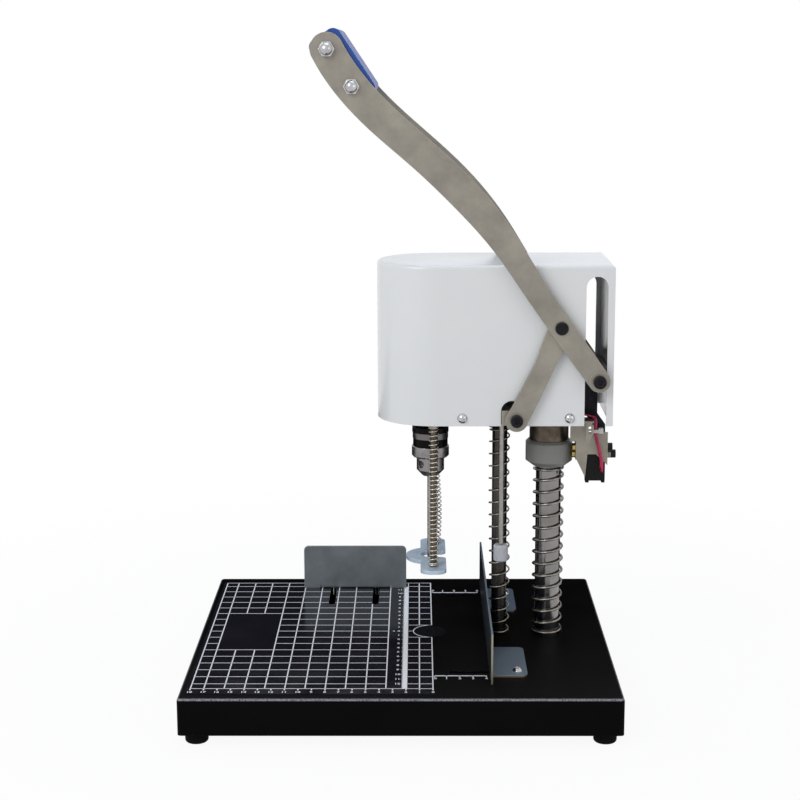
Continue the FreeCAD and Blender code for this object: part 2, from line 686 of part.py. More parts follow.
def fulcrum_bracket():
    """The bar across the top of the thick column, with a threaded hole in each end."""
    w = BRACKET_HALF_WIDTH
    bracket = block(BRACKET_LEFT, BRACKET_RIGHT, -w, w, BRACKET_UNDER, BRACKET_TOP)
    left_corners = edges_where(bracket, lambda b: b.XMax < BRACKET_LEFT + 1e-3 and b.ZLength > 1
                               and b.YLength < 1e-6)
    bracket = bracket.makeFillet(BRACKET_CORNER, left_corners)
    cuts = [rod(THICK_DIAMETER + 2 * SLIP, THICK_X, 0, BRACKET_UNDER - 1, BRACKET_TOP + 1)]
    cuts += pair(rod_y(BOLT_THREAD_DIAMETER + 2 * SLIP, FULCRUM_X, FULCRUM_Z, -w - 1,
                       FULCRUM_THREAD_LENGTH + 1 - w))
    return bracket.cut(cuts)


def socket_head(diameter, height, x, z, y0):
    """A cylinder head with a hexagon socket. Its outer face is at y0 and it runs to the back."""
    head = rod_y(diameter, x, z, y0, y0 + height)
    head = head.makeChamfer(0.4, edges_where(head, lambda b: b.YMax < y0 + 1e-3))
    return head.cut(hexagon(SOCKET_FLATS, V(x, y0, z), V(0, 1, 0), SOCKET_DEPTH))


def fulcrum_bolts():
    under_head = LEVER_OUTER + SLIP + WASHER_SHEET + 2 * SLIP
    shoulder = LEVER_INNER - SLIP
    head = socket_head(FULCRUM_HEAD_DIAMETER, FULCRUM_HEAD, FULCRUM_X, FULCRUM_Z, -under_head - FULCRUM_HEAD)
    journal = rod_y(JOURNAL_DIAMETER, FULCRUM_X, FULCRUM_Z, -under_head, -shoulder)
    collar = rod_y(FULCRUM_COLLAR_DIAMETER, FULCRUM_X, FULCRUM_Z, -shoulder, -BRACKET_HALF_WIDTH)
    thread = rod_y(BOLT_THREAD_DIAMETER, FULCRUM_X, FULCRUM_Z, -BRACKET_HALF_WIDTH,
                   FULCRUM_THREAD_LENGTH - BRACKET_HALF_WIDTH)
    return pair(head.fuse([journal, collar, thread]).removeSplitter())


def fulcrum_washers():
    outer = LEVER_OUTER + SLIP + WASHER_SHEET
    disc = rod_y(WASHER_DIAMETER, FULCRUM_X, FULCRUM_Z, -outer, -LEVER_OUTER - SLIP)
    hole = rod_y(JOURNAL_DIAMETER + 2 * SLIP, FULCRUM_X, FULCRUM_Z, -outer - 1, -LEVER_OUTER + 1)
    return pair(disc.cut(hole))


def trip_arm():
    left = ARM_LEFT
    right = ARM_LEFT + ARM_WIDTH
    jog = ARM_JOG
    knee = BRACKET_UNDER - ARM_STRAIGHT
    elbow = knee - ARM_SLANT
    outline = ((left, BRACKET_UNDER), (right, BRACKET_UNDER), (right, knee), (right + jog, elbow),
               (right + jog, ARM_BOTTOM), (left + jog, ARM_BOTTOM), (left + jog, elbow), (left, knee))
    return upright(outline, ARM_FRONT, ARM_FRONT + ARM_SHEET)


# ---- head
def head_outline(half_width, right, z0, z1):
    """A prism with a round left end and a square right end."""
    body = block(HEAD_ROUND_X, right, -half_width, half_width, z0, z1)
    return body.fuse(rod(2 * half_width, HEAD_ROUND_X, 0, z0, z1)).removeSplitter()


def head_plate():
    plate = head_outline(PLATE_HALF_WIDTH, PLATE_RIGHT, PLATE_UNDER, PLATE_TOP)
    ears = block(EAR_X - EAR_WIDTH / 2, EAR_X + EAR_WIDTH / 2, -EAR_REACH, EAR_REACH, PLATE_UNDER, PLATE_TOP)
    plate = plate.fuse(ears).removeSplitter()
    under = PLATE_UNDER - 1
    over = PLATE_TOP + 1
    cuts = [rod(SPINDLE_HOLE_DIAMETER, 0, 0, under, over),
            rod(HOUSING_DIAMETER + 2 * SLIP, THICK_X, 0, under, over),
            rod(BUSH_DIAMETER + 2 * SLIP, THIN_X, 0, under, over),
            rod(STOP_ROD_DIAMETER + 2 * SLIP, STOP_ROD_X, STOP_ROD_Y, under, over)]
    for side in SIDES:
        cuts.append(rod(PRESSER_BUSH_DIAMETER + 2 * SLIP, ROD_X, side * ROD_Y, under, over))
    for bolt in pair(rod_y(BOLT_THREAD_DIAMETER + 2 * SLIP, LINK_X, LINK_Z, -EAR_REACH - 1,
                           -EAR_REACH + LINK_BOLT_DEPTH + 1)):
        cuts.append(bolt)
    for x in COVER_SCREW_XS:
        cuts += pair(rod_y(COVER_SCREW_DIAMETER + 2 * SLIP, x, COVER_SCREW_Z, -COVER_HALF_WIDTH,
                           -COVER_HALF_WIDTH + COVER_SCREW_LENGTH + 1))
    return plate.cut(cuts)


def cover():
    shell = head_outline(COVER_HALF_WIDTH, COVER_RIGHT, COVER_BOTTOM, COVER_TOP)
    shell = shell.makeFillet(COVER_TOP_RADIUS, edges_where(shell, lambda b: b.ZMin > COVER_TOP - 1e-3))
    t = COVER_SHEET
    inside = head_outline(COVER_INNER, COVER_RIGHT - t, COVER_BOTTOM - 1, COVER_TOP - t)
    ceiling = edges_where(inside, lambda b: b.ZMin > COVER_TOP - t - 1e-3)
    inside = inside.makeFillet(COVER_TOP_RADIUS - t, ceiling)
    shell = shell.cut(inside)
    reach = COVER_HALF_WIDTH + 1
    slots = []
    for x, width, top, y0, y1 in ((FULCRUM_SLOT_X, FULCRUM_SLOT_WIDTH, FULCRUM_SLOT_TOP, -reach, 0),
                                  (FULCRUM_SLOT_X, FULCRUM_SLOT_WIDTH, REAR_SLOT_TOP, 0, reach),
                                  (EAR_X, EAR_WIDTH + 2 * LINK_SLOT_GAP, LINK_SLOT_TOP, -reach, reach)):
        r = width / 2
        slots.append(block(x - r, x + r, y0, y1, COVER_BOTTOM - 1, top - r))
        slots.append(rod_y(width, x, top - r, y0, y1))
    for x in COVER_SCREW_XS:
        slots.append(rod_y(COVER_SCREW_DIAMETER + 2 * SLIP, x, COVER_SCREW_Z, -reach, reach))
    slots.append(rod_y(GLAND_THREAD_DIAMETER + 2 * SLIP, GLAND_X, GLAND_Z, 0, reach))
    return shell.cut(slots)


def pan_head(diameter, height, x, z, y0):
    """A rounded screw head with a cross slot. Its crown is at y0 and it runs to the back."""
    r = diameter / 2
    sphere_r = (r * r + height * height) / (2 * height)
    ball = Part.makeSphere(sphere_r, V(x, y0 + sphere_r, z))
    head = ball.common(rod_y(2 * diameter, x, z, y0 - 1, y0 + height))
    bar = SCREW_SLOT / 2
    across = block(x - r * 0.55, x + r * 0.55, y0 - 1, y0 + height * 0.6, z - bar, z + bar)
    down = block(x - bar, x + bar, y0 - 1, y0 + height * 0.6, z - r * 0.55, z + r * 0.55)
    return head.cut([across, down])


def cover_screws():
    screws = []
    for x in COVER_SCREW_XS:
        head = pan_head(COVER_SCREW_HEAD_DIAMETER, COVER_SCREW_HEAD, x, COVER_SCREW_Z,
                        -COVER_HALF_WIDTH - COVER_SCREW_HEAD)
        shank = rod_y(COVER_SCREW_DIAMETER, x, COVER_SCREW_Z, -COVER_HALF_WIDTH,
                      -COVER_HALF_WIDTH + COVER_SCREW_LENGTH)
        screws += pair(head.fuse(shank).removeSplitter())
    return screws


def bearing_housing():
    tube = rod(HOUSING_DIAMETER, THICK_X, 0, HOUSING_BOTTOM, HOUSING_TOP)
    return tube.cut(rod(THICK_DIAMETER + 2 * RUNNING, THICK_X, 0, HOUSING_BOTTOM - 1, HOUSING_TOP + 1))


def spring_collar():
    bore = THICK_DIAMETER / 2 + COLLAR_GAP
    r = COLLAR_DIAMETER / 2
    profile = ((bore, COLLAR_BOTTOM), (COLLAR_END_DIAMETER / 2, COLLAR_BOTTOM),
               (r, COLLAR_BOTTOM + COLLAR_CONE), (r, HOUSING_BOTTOM - COLLAR_ROUND),
               (r - COLLAR_ROUND, HOUSING_BOTTOM), (bore, HOUSING_BOTTOM))
    return turned(profile, THICK_X)


def guide_bush():
    bore = THIN_DIAMETER / 2 + RUNNING
    flange = BUSH_FLANGE_DIAMETER / 2
    body = BUSH_DIAMETER / 2
    low = BUSH_FLANGE_BOTTOM
    profile = ((bore, low), (flange - 1, low), (flange, low + 1), (flange, PLATE_UNDER), (body, PLATE_UNDER),
               (body, BUSH_TOP), (bore, BUSH_TOP))
    return turned(profile, THIN_X)


def motor_can():
    r = MOTOR_DIAMETER / 2
    shaft = SHAFT_DIAMETER / 2 + RUNNING
    floor = PLATE_TOP + 2 * MOTOR_WALL
    profile = ((shaft, PLATE_TOP), (r, PLATE_TOP), (r, MOTOR_TOP), (r - MOTOR_WALL, MOTOR_TOP),
               (r - MOTOR_WALL, floor), (shaft, floor))
    return turned(profile)


def motor_end_cap():
    r = MOTOR_DIAMETER / 2
    shaft = SHAFT_DIAMETER / 2 + RUNNING
    top = MOTOR_TOP + MOTOR_CAP
    half = MOTOR_TOP + MOTOR_CAP / 2
    profile = ((shaft, MOTOR_TOP), (r, MOTOR_TOP), (r, top - 2), (r - 2, top), (0, top), (0, half),
               (shaft, half))
    return turned(profile)


def presser_bushes():
    bore = ROD_DIAMETER / 2 + RUNNING
    flange = PRESSER_BUSH_FLANGE_DIAMETER / 2
    body = PRESSER_BUSH_DIAMETER / 2
    low = PLATE_UNDER - PRESSER_BUSH_FLANGE
    profile = ((bore, low), (flange, low), (flange, PLATE_UNDER), (body, PLATE_UNDER), (body, PLATE_TOP),
               (bore, PLATE_TOP))
    return [turned(profile, ROD_X, side * ROD_Y) for side in SIDES]


def presser_spring(side, diameter, bow):
    return coil(diameter, PRESSER_WIRE, PRESSER_PITCH, ROD_X + bow, side * ROD_Y, FOOT_PLATE_TOP,
                PLATE_UNDER - PRESSER_BUSH_FLANGE)


def stop_rod():
    bottom = STOP_CAP_BOTTOM + STOP_CAP_FLOOR
    return rod(STOP_ROD_DIAMETER, STOP_ROD_X, STOP_ROD_Y, bottom, STOP_ROD_TOP)


def stop_cap():
    r = STOP_CAP_DIAMETER / 2
    bore = STOP_ROD_DIAMETER / 2 + SLIP
    seat = STOP_CAP_BOTTOM + STOP_CAP_FLOOR
    top = STOP_CAP_BOTTOM + STOP_CAP_HEIGHT
    low = STOP_CAP_BOTTOM
    profile = ((0, low), (r - 1, low), (r, low + 1), (r, top - 1), (r - 1, top), (bore, top), (bore, seat),
               (0, seat))
    return turned(profile, STOP_ROD_X, STOP_ROD_Y)


def link_bolts():
    under_head = LINK_OUTER + SIDE_GAP
    head = socket_head(LINK_BOLT_HEAD_DIAMETER, LINK_BOLT_HEAD, LINK_X, LINK_Z, -under_head - LINK_BOLT_HEAD)
    journal = rod_y(JOURNAL_DIAMETER, LINK_X, LINK_Z, -under_head, -EAR_REACH)
    thread = rod_y(BOLT_THREAD_DIAMETER, LINK_X, LINK_Z, -EAR_REACH, -EAR_REACH + LINK_BOLT_DEPTH)
    return pair(head.fuse([journal, thread]).removeSplitter())


def switch_bracket():
    front = SWITCH_PLATE_FRONT
    back = front + SWITCH_PLATE_SHEET
    t = SWITCH_PLATE_SHEET
    top = PLATE_UNDER
    plate = upright([(FULCRUM_X + dx, top - drop) for dx, drop in SWITCH_PLATE], front, back)
    right = SWITCH_BRACKET_RIGHT
    high = top - SWITCH_FLANGE_DROP
    low = high - SWITCH_FLANGE_HEIGHT
    flanges = [block(right - t, right, front, SWITCH_REAR, low, high),
               block(SWITCH_LEFT_FLANGE, SWITCH_LEFT_FLANGE + t, front, SWITCH_REAR, low, high),
               block(SWITCH_BRACKET_LEFT - SWITCH_FOOT_REACH, TAB_RIGHT, TAB_FRONT, back, top - t, top)]
    middle = (TAB_LEFT + TAB_RIGHT) / 2
    shoulder = top - TAB_TOP_CUT
    tab = upright(((TAB_LEFT, top), (TAB_LEFT + TAB_END, top), (TAB_RIGHT, shoulder),
                   (TAB_RIGHT, shoulder - TAB_SIDE), (TAB_LEFT + TAB_END, TAB_BOTTOM),
                   (TAB_LEFT, TAB_BOTTOM)), TAB_FRONT, TAB_FRONT + t)
    bracket = plate.fuse(flanges + [tab]).removeSplitter()
    cuts = [rod_y(TAB_HOLE_DIAMETER, middle, z, TAB_FRONT - 1, TAB_FRONT + t + 1)
            for z in (TAB_BOTTOM + height for height in TAB_HOLE_HEIGHTS)]
    for y, z, off in SWITCH_SCREWS:
        cuts.append(rod_x(SWITCH_SCREW_DIAMETER + 2 * SLIP, y, z, SWITCH_SCREW_END - 1, right + 1))
    return bracket.cut(cuts)


def microswitch():
    front = SWITCH_FRONT
    body = block(SWITCH_LEFT, SWITCH_RIGHT, front, SWITCH_REAR, SWITCH_BOTTOM, SWITCH_TOP)
    body = round_upright(body, SWITCH_ROUND, (SWITCH_TOP + SWITCH_BOTTOM) / 2)
    low = SWITCH_BOTTOM - SWITCH_LEG
    w = SWITCH_LEG_WIDTH
    inset = SWITCH_LEG_INSET
    legs = [block(SWITCH_LEFT, SWITCH_LEFT + w, front + inset, SWITCH_REAR - inset, low, SWITCH_BOTTOM),
            block(SWITCH_RIGHT - w, SWITCH_RIGHT, front + inset, SWITCH_REAR - inset, low, SWITCH_BOTTOM)]
    w = PLUNGER_WIDTH / 2 + PLUNGER_GAP
    d = PLUNGER_DEPTH / 2 + PLUNGER_GAP
    y = (front + SWITCH_REAR) / 2
    cuts = [block(PLUNGER_X - w, PLUNGER_X + w, y - d, y + d, SWITCH_TOP - PLUNGER_WELL, SWITCH_TOP + 1)]
    for screw_y, z, off in SWITCH_SCREWS:
        cuts.append(rod_x(SWITCH_SCREW_DIAMETER + 2 * SLIP, screw_y, z, SWITCH_LEFT - 1, SWITCH_RIGHT + 1))
    return body.fuse(legs).removeSplitter().cut(cuts)


def switch_plunger():
    y = (SWITCH_FRONT + SWITCH_REAR) / 2
    w = PLUNGER_WIDTH / 2
    d = PLUNGER_DEPTH / 2
    low = SWITCH_TOP - PLUNGER_WELL + PLUNGER_TRAVEL + PLUNGER_FLOOR_GAP
    return block(PLUNGER_X - w, PLUNGER_X + w, y - d, y + d, low, PLUNGER_TOP)


def microswitch_screws():
    screws = []
    for y, z, off in SWITCH_SCREWS:
        seat = SWITCH_BRACKET_RIGHT + off
        head = rod_x(SWITCH_SCREW_HEAD_DIAMETER, y, z, seat, seat + SWITCH_SCREW_HEAD)
        crown = V(seat + SWITCH_SCREW_HEAD, y, z)
        socket = hexagon(SWITCH_SCREW_DIAMETER, crown, V(-1, 0, 0), SWITCH_SCREW_SOCKET)
        shank = rod_x(SWITCH_SCREW_DIAMETER, y, z, SWITCH_SCREW_END, seat)
        screws.append(head.cut(socket).fuse(shank).removeSplitter())
    return screws


def microswitch_spacer():
    right = SWITCH_BRACKET_RIGHT
    y, z, off = SWITCH_SCREWS[1]
    collar = rod_x(SWITCH_SCREW_HEAD_DIAMETER, y, z, right, right + off)
    return collar.cut(rod_x(SWITCH_SCREW_DIAMETER + 2 * SLIP, y, z, right - 1, right + off + 1))


def microswitch_nuts():
    nuts = []
    for y, z, off in SWITCH_SCREWS:
        start = SWITCH_LEFT_FLANGE - SWITCH_NUT_HEIGHT
        nut = hexagon(SWITCH_NUT_FLATS, V(start, y, z), V(1, 0, 0), SWITCH_NUT_HEIGHT)
        hole = rod_x(SWITCH_SCREW_DIAMETER + 2 * SLIP, y, z, start - 1, SWITCH_LEFT_FLANGE + 1)
        nuts.append(nut.cut(hole))
    return nuts


def rounded_path(points, radius):
    """Straight runs joined by tangent arcs."""
    edges = []
    start = points[0]
    for before, corner, after in zip(points, points[1:], points[2:]):
        into = (corner - before).normalize()
        out = (after - corner).normalize()
        turn = into.getAngle(out)
        reach = radius * math.tan(turn / 2)
        p = corner - into * reach
        q = corner + out * reach
        bisector = (out - into).normalize()
        centre = corner + bisector * (radius / math.cos(turn / 2))
        middle = centre - bisector * radius
        edges.append(Part.LineSegment(start, p).toShape())
        edges.append(Part.Arc(p, middle, q).toShape())
        start = q
    edges.append(Part.LineSegment(start, points[-1]).toShape())
    return Part.Wire(edges)


def switch_leads():
    """Two leads, one behind the other, from the switch up into the cover and left to the motor."""
    leads = []
    for i, side in enumerate(SIDES):
        dx = side * LEAD_SPACING / 2
        y = LEAD_Y - side * LEAD_PAIR / 2
        end_z = SWITCH_BOTTOM + LEAD_END_RISE - LEAD_END_DROP * i
        top = PLATE_TOP + LEAD_ABOVE_PLATE + LEAD_STAGGER * i
        motor_x = math.sqrt((MOTOR_DIAMETER / 2) ** 2 - (abs(y) - LEAD_DIAMETER / 2) ** 2) + SLIP
        points = [V(LEAD_END_X + dx, SWITCH_FRONT, end_z), V(LEAD_END_X + dx, y, end_z),
                  V(LEAD_END_X + dx, y, LEAD_KNEE), V(LEAD_X + dx, y, TIE_Z), V(LEAD_X + dx, y, LEAD_TURN),
                  V(LEAD_RISER_X + dx, y, LEAD_RISER), V(LEAD_RISER_X + dx, y, top), V(motor_x, y, top)]
        path = rounded_path(points, LEAD_BEND)
        section = Part.Wire([Part.makeCircle(LEAD_DIAMETER / 2, points[0], V(0, -1, 0))])
        leads.append(path.makePipeShell([section], True, False))
    return leads


def cable_tie():
    reach_x = (LEAD_SPACING + LEAD_DIAMETER) / 2 + TIE_GAP
    reach_y = (LEAD_PAIR + LEAD_DIAMETER) / 2 + TIE_GAP
    x = LEAD_X
    t = TIE_SHEET
    z0 = TIE_Z
    z1 = TIE_Z + TIE_WIDTH
    outer = block(x - reach_x - t, x + reach_x + t, LEAD_Y - reach_y - t, LEAD_Y + reach_y + t, z0, z1)
    inner = block(x - reach_x, x + reach_x, LEAD_Y - reach_y, LEAD_Y + reach_y, z0 - 1, z1 + 1)
    half = TIE_LOCK / 2
    lock = block(x + reach_x + t, x + reach_x + t + TIE_LOCK, LEAD_Y - half, LEAD_Y + half, z0 - t, z1 + t)
    return round_corners(outer, t).cut(inner).fuse(lock).removeSplitter()


def cable_gland():
    wall = COVER_HALF_WIDTH
    hexed = hexagon(GLAND_DIAMETER, V(GLAND_X, wall, GLAND_Z), V(0, 1, 0), 5)
    dome = Part.makeCone(GLAND_DIAMETER / 2, GLAND_THREAD_DIAMETER / 2, GLAND_REACH - 5,
                         V(GLAND_X, wall + 5, GLAND_Z), V(0, 1, 0))
    inner = COVER_INNER - GLAND_NUT - 1
    thread = rod_y(GLAND_THREAD_DIAMETER, GLAND_X, GLAND_Z, inner, wall)
    nut = hexagon(GLAND_DIAMETER, V(GLAND_X, COVER_INNER - GLAND_NUT, GLAND_Z), V(0, 1, 0), GLAND_NUT)
    gland = hexed.fuse([dome, thread, nut]).removeSplitter()
    return gland.cut(rod_y(GLAND_BORE_DIAMETER, GLAND_X, GLAND_Z, inner - 1, wall + GLAND_REACH + 1))


# ---- spindle
def spindle_shaft():
    r = SHAFT_DIAMETER / 2
    core = ARMATURE_DIAMETER / 2
    low = PLATE_TOP + 2 * MOTOR_WALL + ARMATURE_END_GAP
    high = MOTOR_TOP - ARMATURE_END_GAP
    foot = CHUCK_TOP - SHAFT_INTO_CHUCK
    top = MOTOR_TOP + MOTOR_CAP / 2 - 1
    profile = ((0, foot), (r, foot), (r, low), (core, low), (core, high), (r, high), (r, top), (0, top))
    return turned(profile)


def jaw_angle(i):
    """The place of a jaw about the axis, counted from +X."""
    return math.radians(360 / JAW_COUNT * i + JAW_TURN)


def jaw_direction(i):
    a = jaw_angle(i)
    tilt = math.radians(JAW_TILT)
    return V(math.sin(tilt) * math.cos(a), math.sin(tilt) * math.sin(a), math.cos(tilt))


def jaw_tip(i):
    a = jaw_angle(i)
    return V(JAW_TIP_RADIUS * math.cos(a), JAW_TIP_RADIUS * math.sin(a), CHUCK_NOSE - JAW_PROUD)


def chuck_body():
    cap = CHUCK_CAP_DIAMETER / 2
    band = CHUCK_BAND_DIAMETER / 2
    shoulder = CHUCK_SHOULDER_DIAMETER / 2
    journal = CHUCK_JOURNAL_DIAMETER / 2
    body = CHUCK_BODY_DIAMETER / 2
    nose = CHUCK_NOSE_DIAMETER / 2
    profile = ((0, CHUCK_NOSE), (nose, CHUCK_NOSE), (body, CHUCK_CONE_TOP), (body, CHUCK_RING_BOTTOM),
               (journal, CHUCK_RING_BOTTOM), (journal, CHUCK_RING_TOP), (shoulder, CHUCK_RING_TOP),
               (shoulder, CHUCK_SHOULDER_TOP), (band, CHUCK_SHOULDER_TOP), (band, CHUCK_BAND_TOP),
               (cap, CHUCK_BAND_TOP), (cap, CHUCK_TOP - CHUCK_CAP_BEVEL_HEIGHT),
               (cap - CHUCK_CAP_BEVEL, CHUCK_TOP), (0, CHUCK_TOP))
    chuck = turned(profile)
    cuts = [rod(CHUCK_BORE_DIAMETER, 0, 0, CHUCK_NOSE - 1, BIT_TOP + 1),
            rod(SHAFT_DIAMETER + 2 * SLIP, 0, 0, CHUCK_TOP - SHAFT_INTO_CHUCK, CHUCK_TOP + 1)]
    for i in range(JAW_COUNT):
        direction = jaw_direction(i)
        cuts.append(Part.makeCylinder(JAW_DIAMETER / 2 + RUNNING, JAW_LENGTH + JAW_TRAVEL + 0.3, jaw_tip(i),
                                      direction))
        a = jaw_angle(i + 0.5)
        outward = V(math.cos(a), math.sin(a), 0)
        start = outward * (body - KEY_HOLE_DEPTH) + V(0, 0, (CHUCK_CONE_TOP + CHUCK_RING_BOTTOM) / 2)
        cuts.append(Part.makeCylinder(KEY_HOLE_DIAMETER / 2, KEY_HOLE_DEPTH + 1, start, outward))
    return chuck.cut(cuts)


def chuck_ring():
    r = CHUCK_RING_DIAMETER / 2
    e = CHUCK_EDGE
    bore = CHUCK_JOURNAL_DIAMETER / 2 + RUNNING
    low = CHUCK_RING_BOTTOM
    high = CHUCK_RING_TOP - RING_GAP
    profile = ((bore, low), (r - RING_TOOTH_DEPTH, low), (r, low + RING_TOOTH_DEPTH), (r, high - e),
               (r - e, high), (bore, high))
    ring = turned(profile)
    gap = math.pi * CHUCK_RING_DIAMETER / RING_TEETH / 2
    notch = upright(((-gap / 2, low - 1), (gap / 2, low - 1), (gap / 4, low + RING_TOOTH_DEPTH),
                     (-gap / 4, low + RING_TOOTH_DEPTH)), -r - 1, -bore - 0.8)
    notches = []
    for i in range(RING_TEETH):
        cut = notch.copy()
        cut.rotate(V(0, 0, 0), V(0, 0, 1), 360 / RING_TEETH * i)
        notches.append(cut)
    return ring.cut(notches)


def chuck_jaw(i):
    jaw = Part.makeCylinder(JAW_DIAMETER / 2, JAW_LENGTH, jaw_tip(i), jaw_direction(i))
    return jaw.cut(rod(BIT_DIAMETER + 2 * SLIP, 0, 0, CHUCK_NOSE - JAW_LENGTH, BIT_TOP + JAW_LENGTH))


def drill_bit():
    r = BIT_DIAMETER / 2
    bore = BIT_BORE_DIAMETER / 2
    edge = BIT_EDGE_DIAMETER / 2
    top_of_bore = BIT_TIP + BIT_BORE_LENGTH
    profile = ((edge, BIT_TIP), (r, BIT_TIP + 0.6), (r, BIT_TOP), (0, BIT_TOP), (0, top_of_bore),
               (bore, top_of_bore), (bore, BIT_TIP + BIT_BEVEL))
    bit = turned(profile)
    window = block(0, r + 1, -bore * 0.7, bore * 0.7, top_of_bore - 16, top_of_bore - 3)
    return bit.cut(window)


# ---- presser
def presser_foot():
    z0 = FOOT_PLATE_BOTTOM
    z1 = FOOT_PLATE_TOP
    half_width = FOOT_BAR_WIDTH / 2
    half_length = ROD_Y + FOOT_BAR_PAST_ROD
    right = ROD_X + half_width
    bar = block(ROD_X - half_width, right, -half_length, half_length, z0, z1)
    disc = rod(2 * FOOT_PLATE_RADIUS, 0, 0, z0, z1)
    disc = disc.cut(block(right, FOOT_PLATE_RADIUS + 1, -half_length, half_length, z0 - 1, z1 + 1))
    plate = round_corners(bar, FOOT_BAR_CORNER).fuse(disc).removeSplitter()
    half = FOOT_SLOT_WIDTH / 2
    plate = plate.cut([rod(FOOT_SLOT_WIDTH, 0, 0, z0 - 1, z1 + 1),
                       block(0, right + 1, -half, half, z0 - 1, z1 + 1)])
    mouth = edges_where(plate, lambda b: b.ZLength > 1 and b.XMin > right - 1e-3 and b.XLength < 1e-6
                        and abs(abs(b.YMin) - half) < 1e-3)
    plate = plate.makeFillet(FOOT_SLOT_CORNER, mouth)
    cuts = []
    for side in SIDES:
        cuts.append(rod(ROD_DIAMETER + 2 * SLIP, ROD_X, side * ROD_Y, z0 - 1, z1 + 1))
    return plate.cut(cuts)


def presser_rods():
    rods = []
    for side in SIDES:
        bar = rod(ROD_DIAMETER, ROD_X, side * ROD_Y, FOOT_PLATE_BOTTOM + 0.3, PLATE_TOP + ROD_ABOVE_PLATE)
        rods.append(bar.makeChamfer(0.5, edges_where(bar, lambda b: b.ZMin > PLATE_TOP)))
    return rods


def rod_clips():
    low = PLATE_TOP + SIDE_GAP
    clips = []
    for side in SIDES:
        y = side * ROD_Y
        disc = rod(CLIP_DIAMETER, ROD_X, y, low, low + CLIP_SHEET)
        clips.append(disc.cut(rod(ROD_DIAMETER + 2 * SLIP, ROD_X, y, low - 1, low + CLIP_SHEET + 1)))
    return clips


# ---- lever and links
def lever_edges():
    """Both edges of the lever as smooth curves at the half width from its centreline."""
    last = len(LEVER_POINTS) - 1
    left = []
    right = []
    for i, point in enumerate(LEVER_POINTS):
        along = (LEVER_POINTS[min(i + 1, last)] - LEVER_POINTS[max(i - 1, 0)]).normalize()
        across = V(-along.z, 0, along.x) * LEVER_HALVES[i]
        left.append(point + across)
        right.append(point - across)
    return left, right


def spline(points):
    curve = Part.BSplineCurve()
    curve.interpolate(points)
    return curve.toShape()


def lever_plate():
    left, right = lever_edges()
    hand = LEVER_POINTS[0]
    heel = LEVER_POINTS[-1]
    hand_end = hand + (hand - LEVER_POINTS[1]).normalize() * LEVER_HALVES[0]
    heel_end = heel + (heel - LEVER_POINTS[-2]).normalize() * LEVER_HALVES[-1]
    edges = [spline(left), Part.Arc(left[-1], heel_end, right[-1]).toShape(), spline(right),
             Part.Arc(left[0], hand_end, right[0]).toShape()]
    face = Part.Face(Part.Wire(Part.__sortEdges__(edges)))
    plate = face.extrude(V(0, BAR_SHEET, 0))
    plate.translate(V(0, -LEVER_OUTER, 0))
    outer = -LEVER_OUTER - 1
    inner = -LEVER_INNER + 1
    return plate.cut([rod_y(JOURNAL_DIAMETER + 2 * RUNNING, FULCRUM_X, FULCRUM_Z, outer, inner),
                      rod_y(PIN_DIAMETER + 2 * SLIP, PIVOT_X, PIVOT_Z, outer, inner)])


def lever_grip():
    """The handle between the two plates, proud of their upper edge."""
    along = (LEVER_POINTS[1] - LEVER_POINTS[0]).normalize()
    outward = V(-along.z, 0, along.x)
    start = LEVER_POINTS[0] - along * GRIP_ABOVE
    end = start + along * GRIP_LENGTH
    corners = [start - outward * GRIP_UNDER, start + outward * GRIP_PROUD, end + outward * GRIP_PROUD,
               end - outward * GRIP_UNDER]
    grip = Part.Face(polygon(corners)).extrude(V(0, 2 * LEVER_INNER, 0))
    grip.translate(V(0, -LEVER_INNER, 0))
    return grip.makeFillet(GRIP_ROUND, [e for e in grip.Edges if abs(e.Length - 2 * LEVER_INNER) < 1e-6])


def grip_nuts():
    face = -LEVER_OUTER
    nuts = []
    for point in LEVER_POINTS[:2]:
        seat = V(point.x, face - NUT_HEIGHT, point.z)
        base = hexagon(NUT_FLATS, seat, V(0, 1, 0), NUT_HEIGHT)
        dome = Part.makeSphere(NUT_DOME_DIAMETER / 2, seat)
        behind = rod_y(2 * NUT_DOME_DIAMETER, point.x, point.z, seat.y, seat.y + NUT_DOME_DIAMETER)
        nuts += pair(base.fuse(dome.cut(behind)).removeSplitter())
    return nuts


def lever_pins():
    head = rod_y(PIN_HEAD_DIAMETER, PIVOT_X, PIVOT_Z, -LEVER_OUTER - PIN_HEAD, -LEVER_OUTER)
    head = head.makeChamfer(0.5, edges_where(head, lambda b: b.YMax < -LEVER_OUTER - PIN_HEAD + 1e-3))
    shank = rod_y(PIN_DIAMETER, PIVOT_X, PIVOT_Z, -LEVER_OUTER, -LEVER_INNER)
    return pair(head.fuse(shank).removeSplitter())


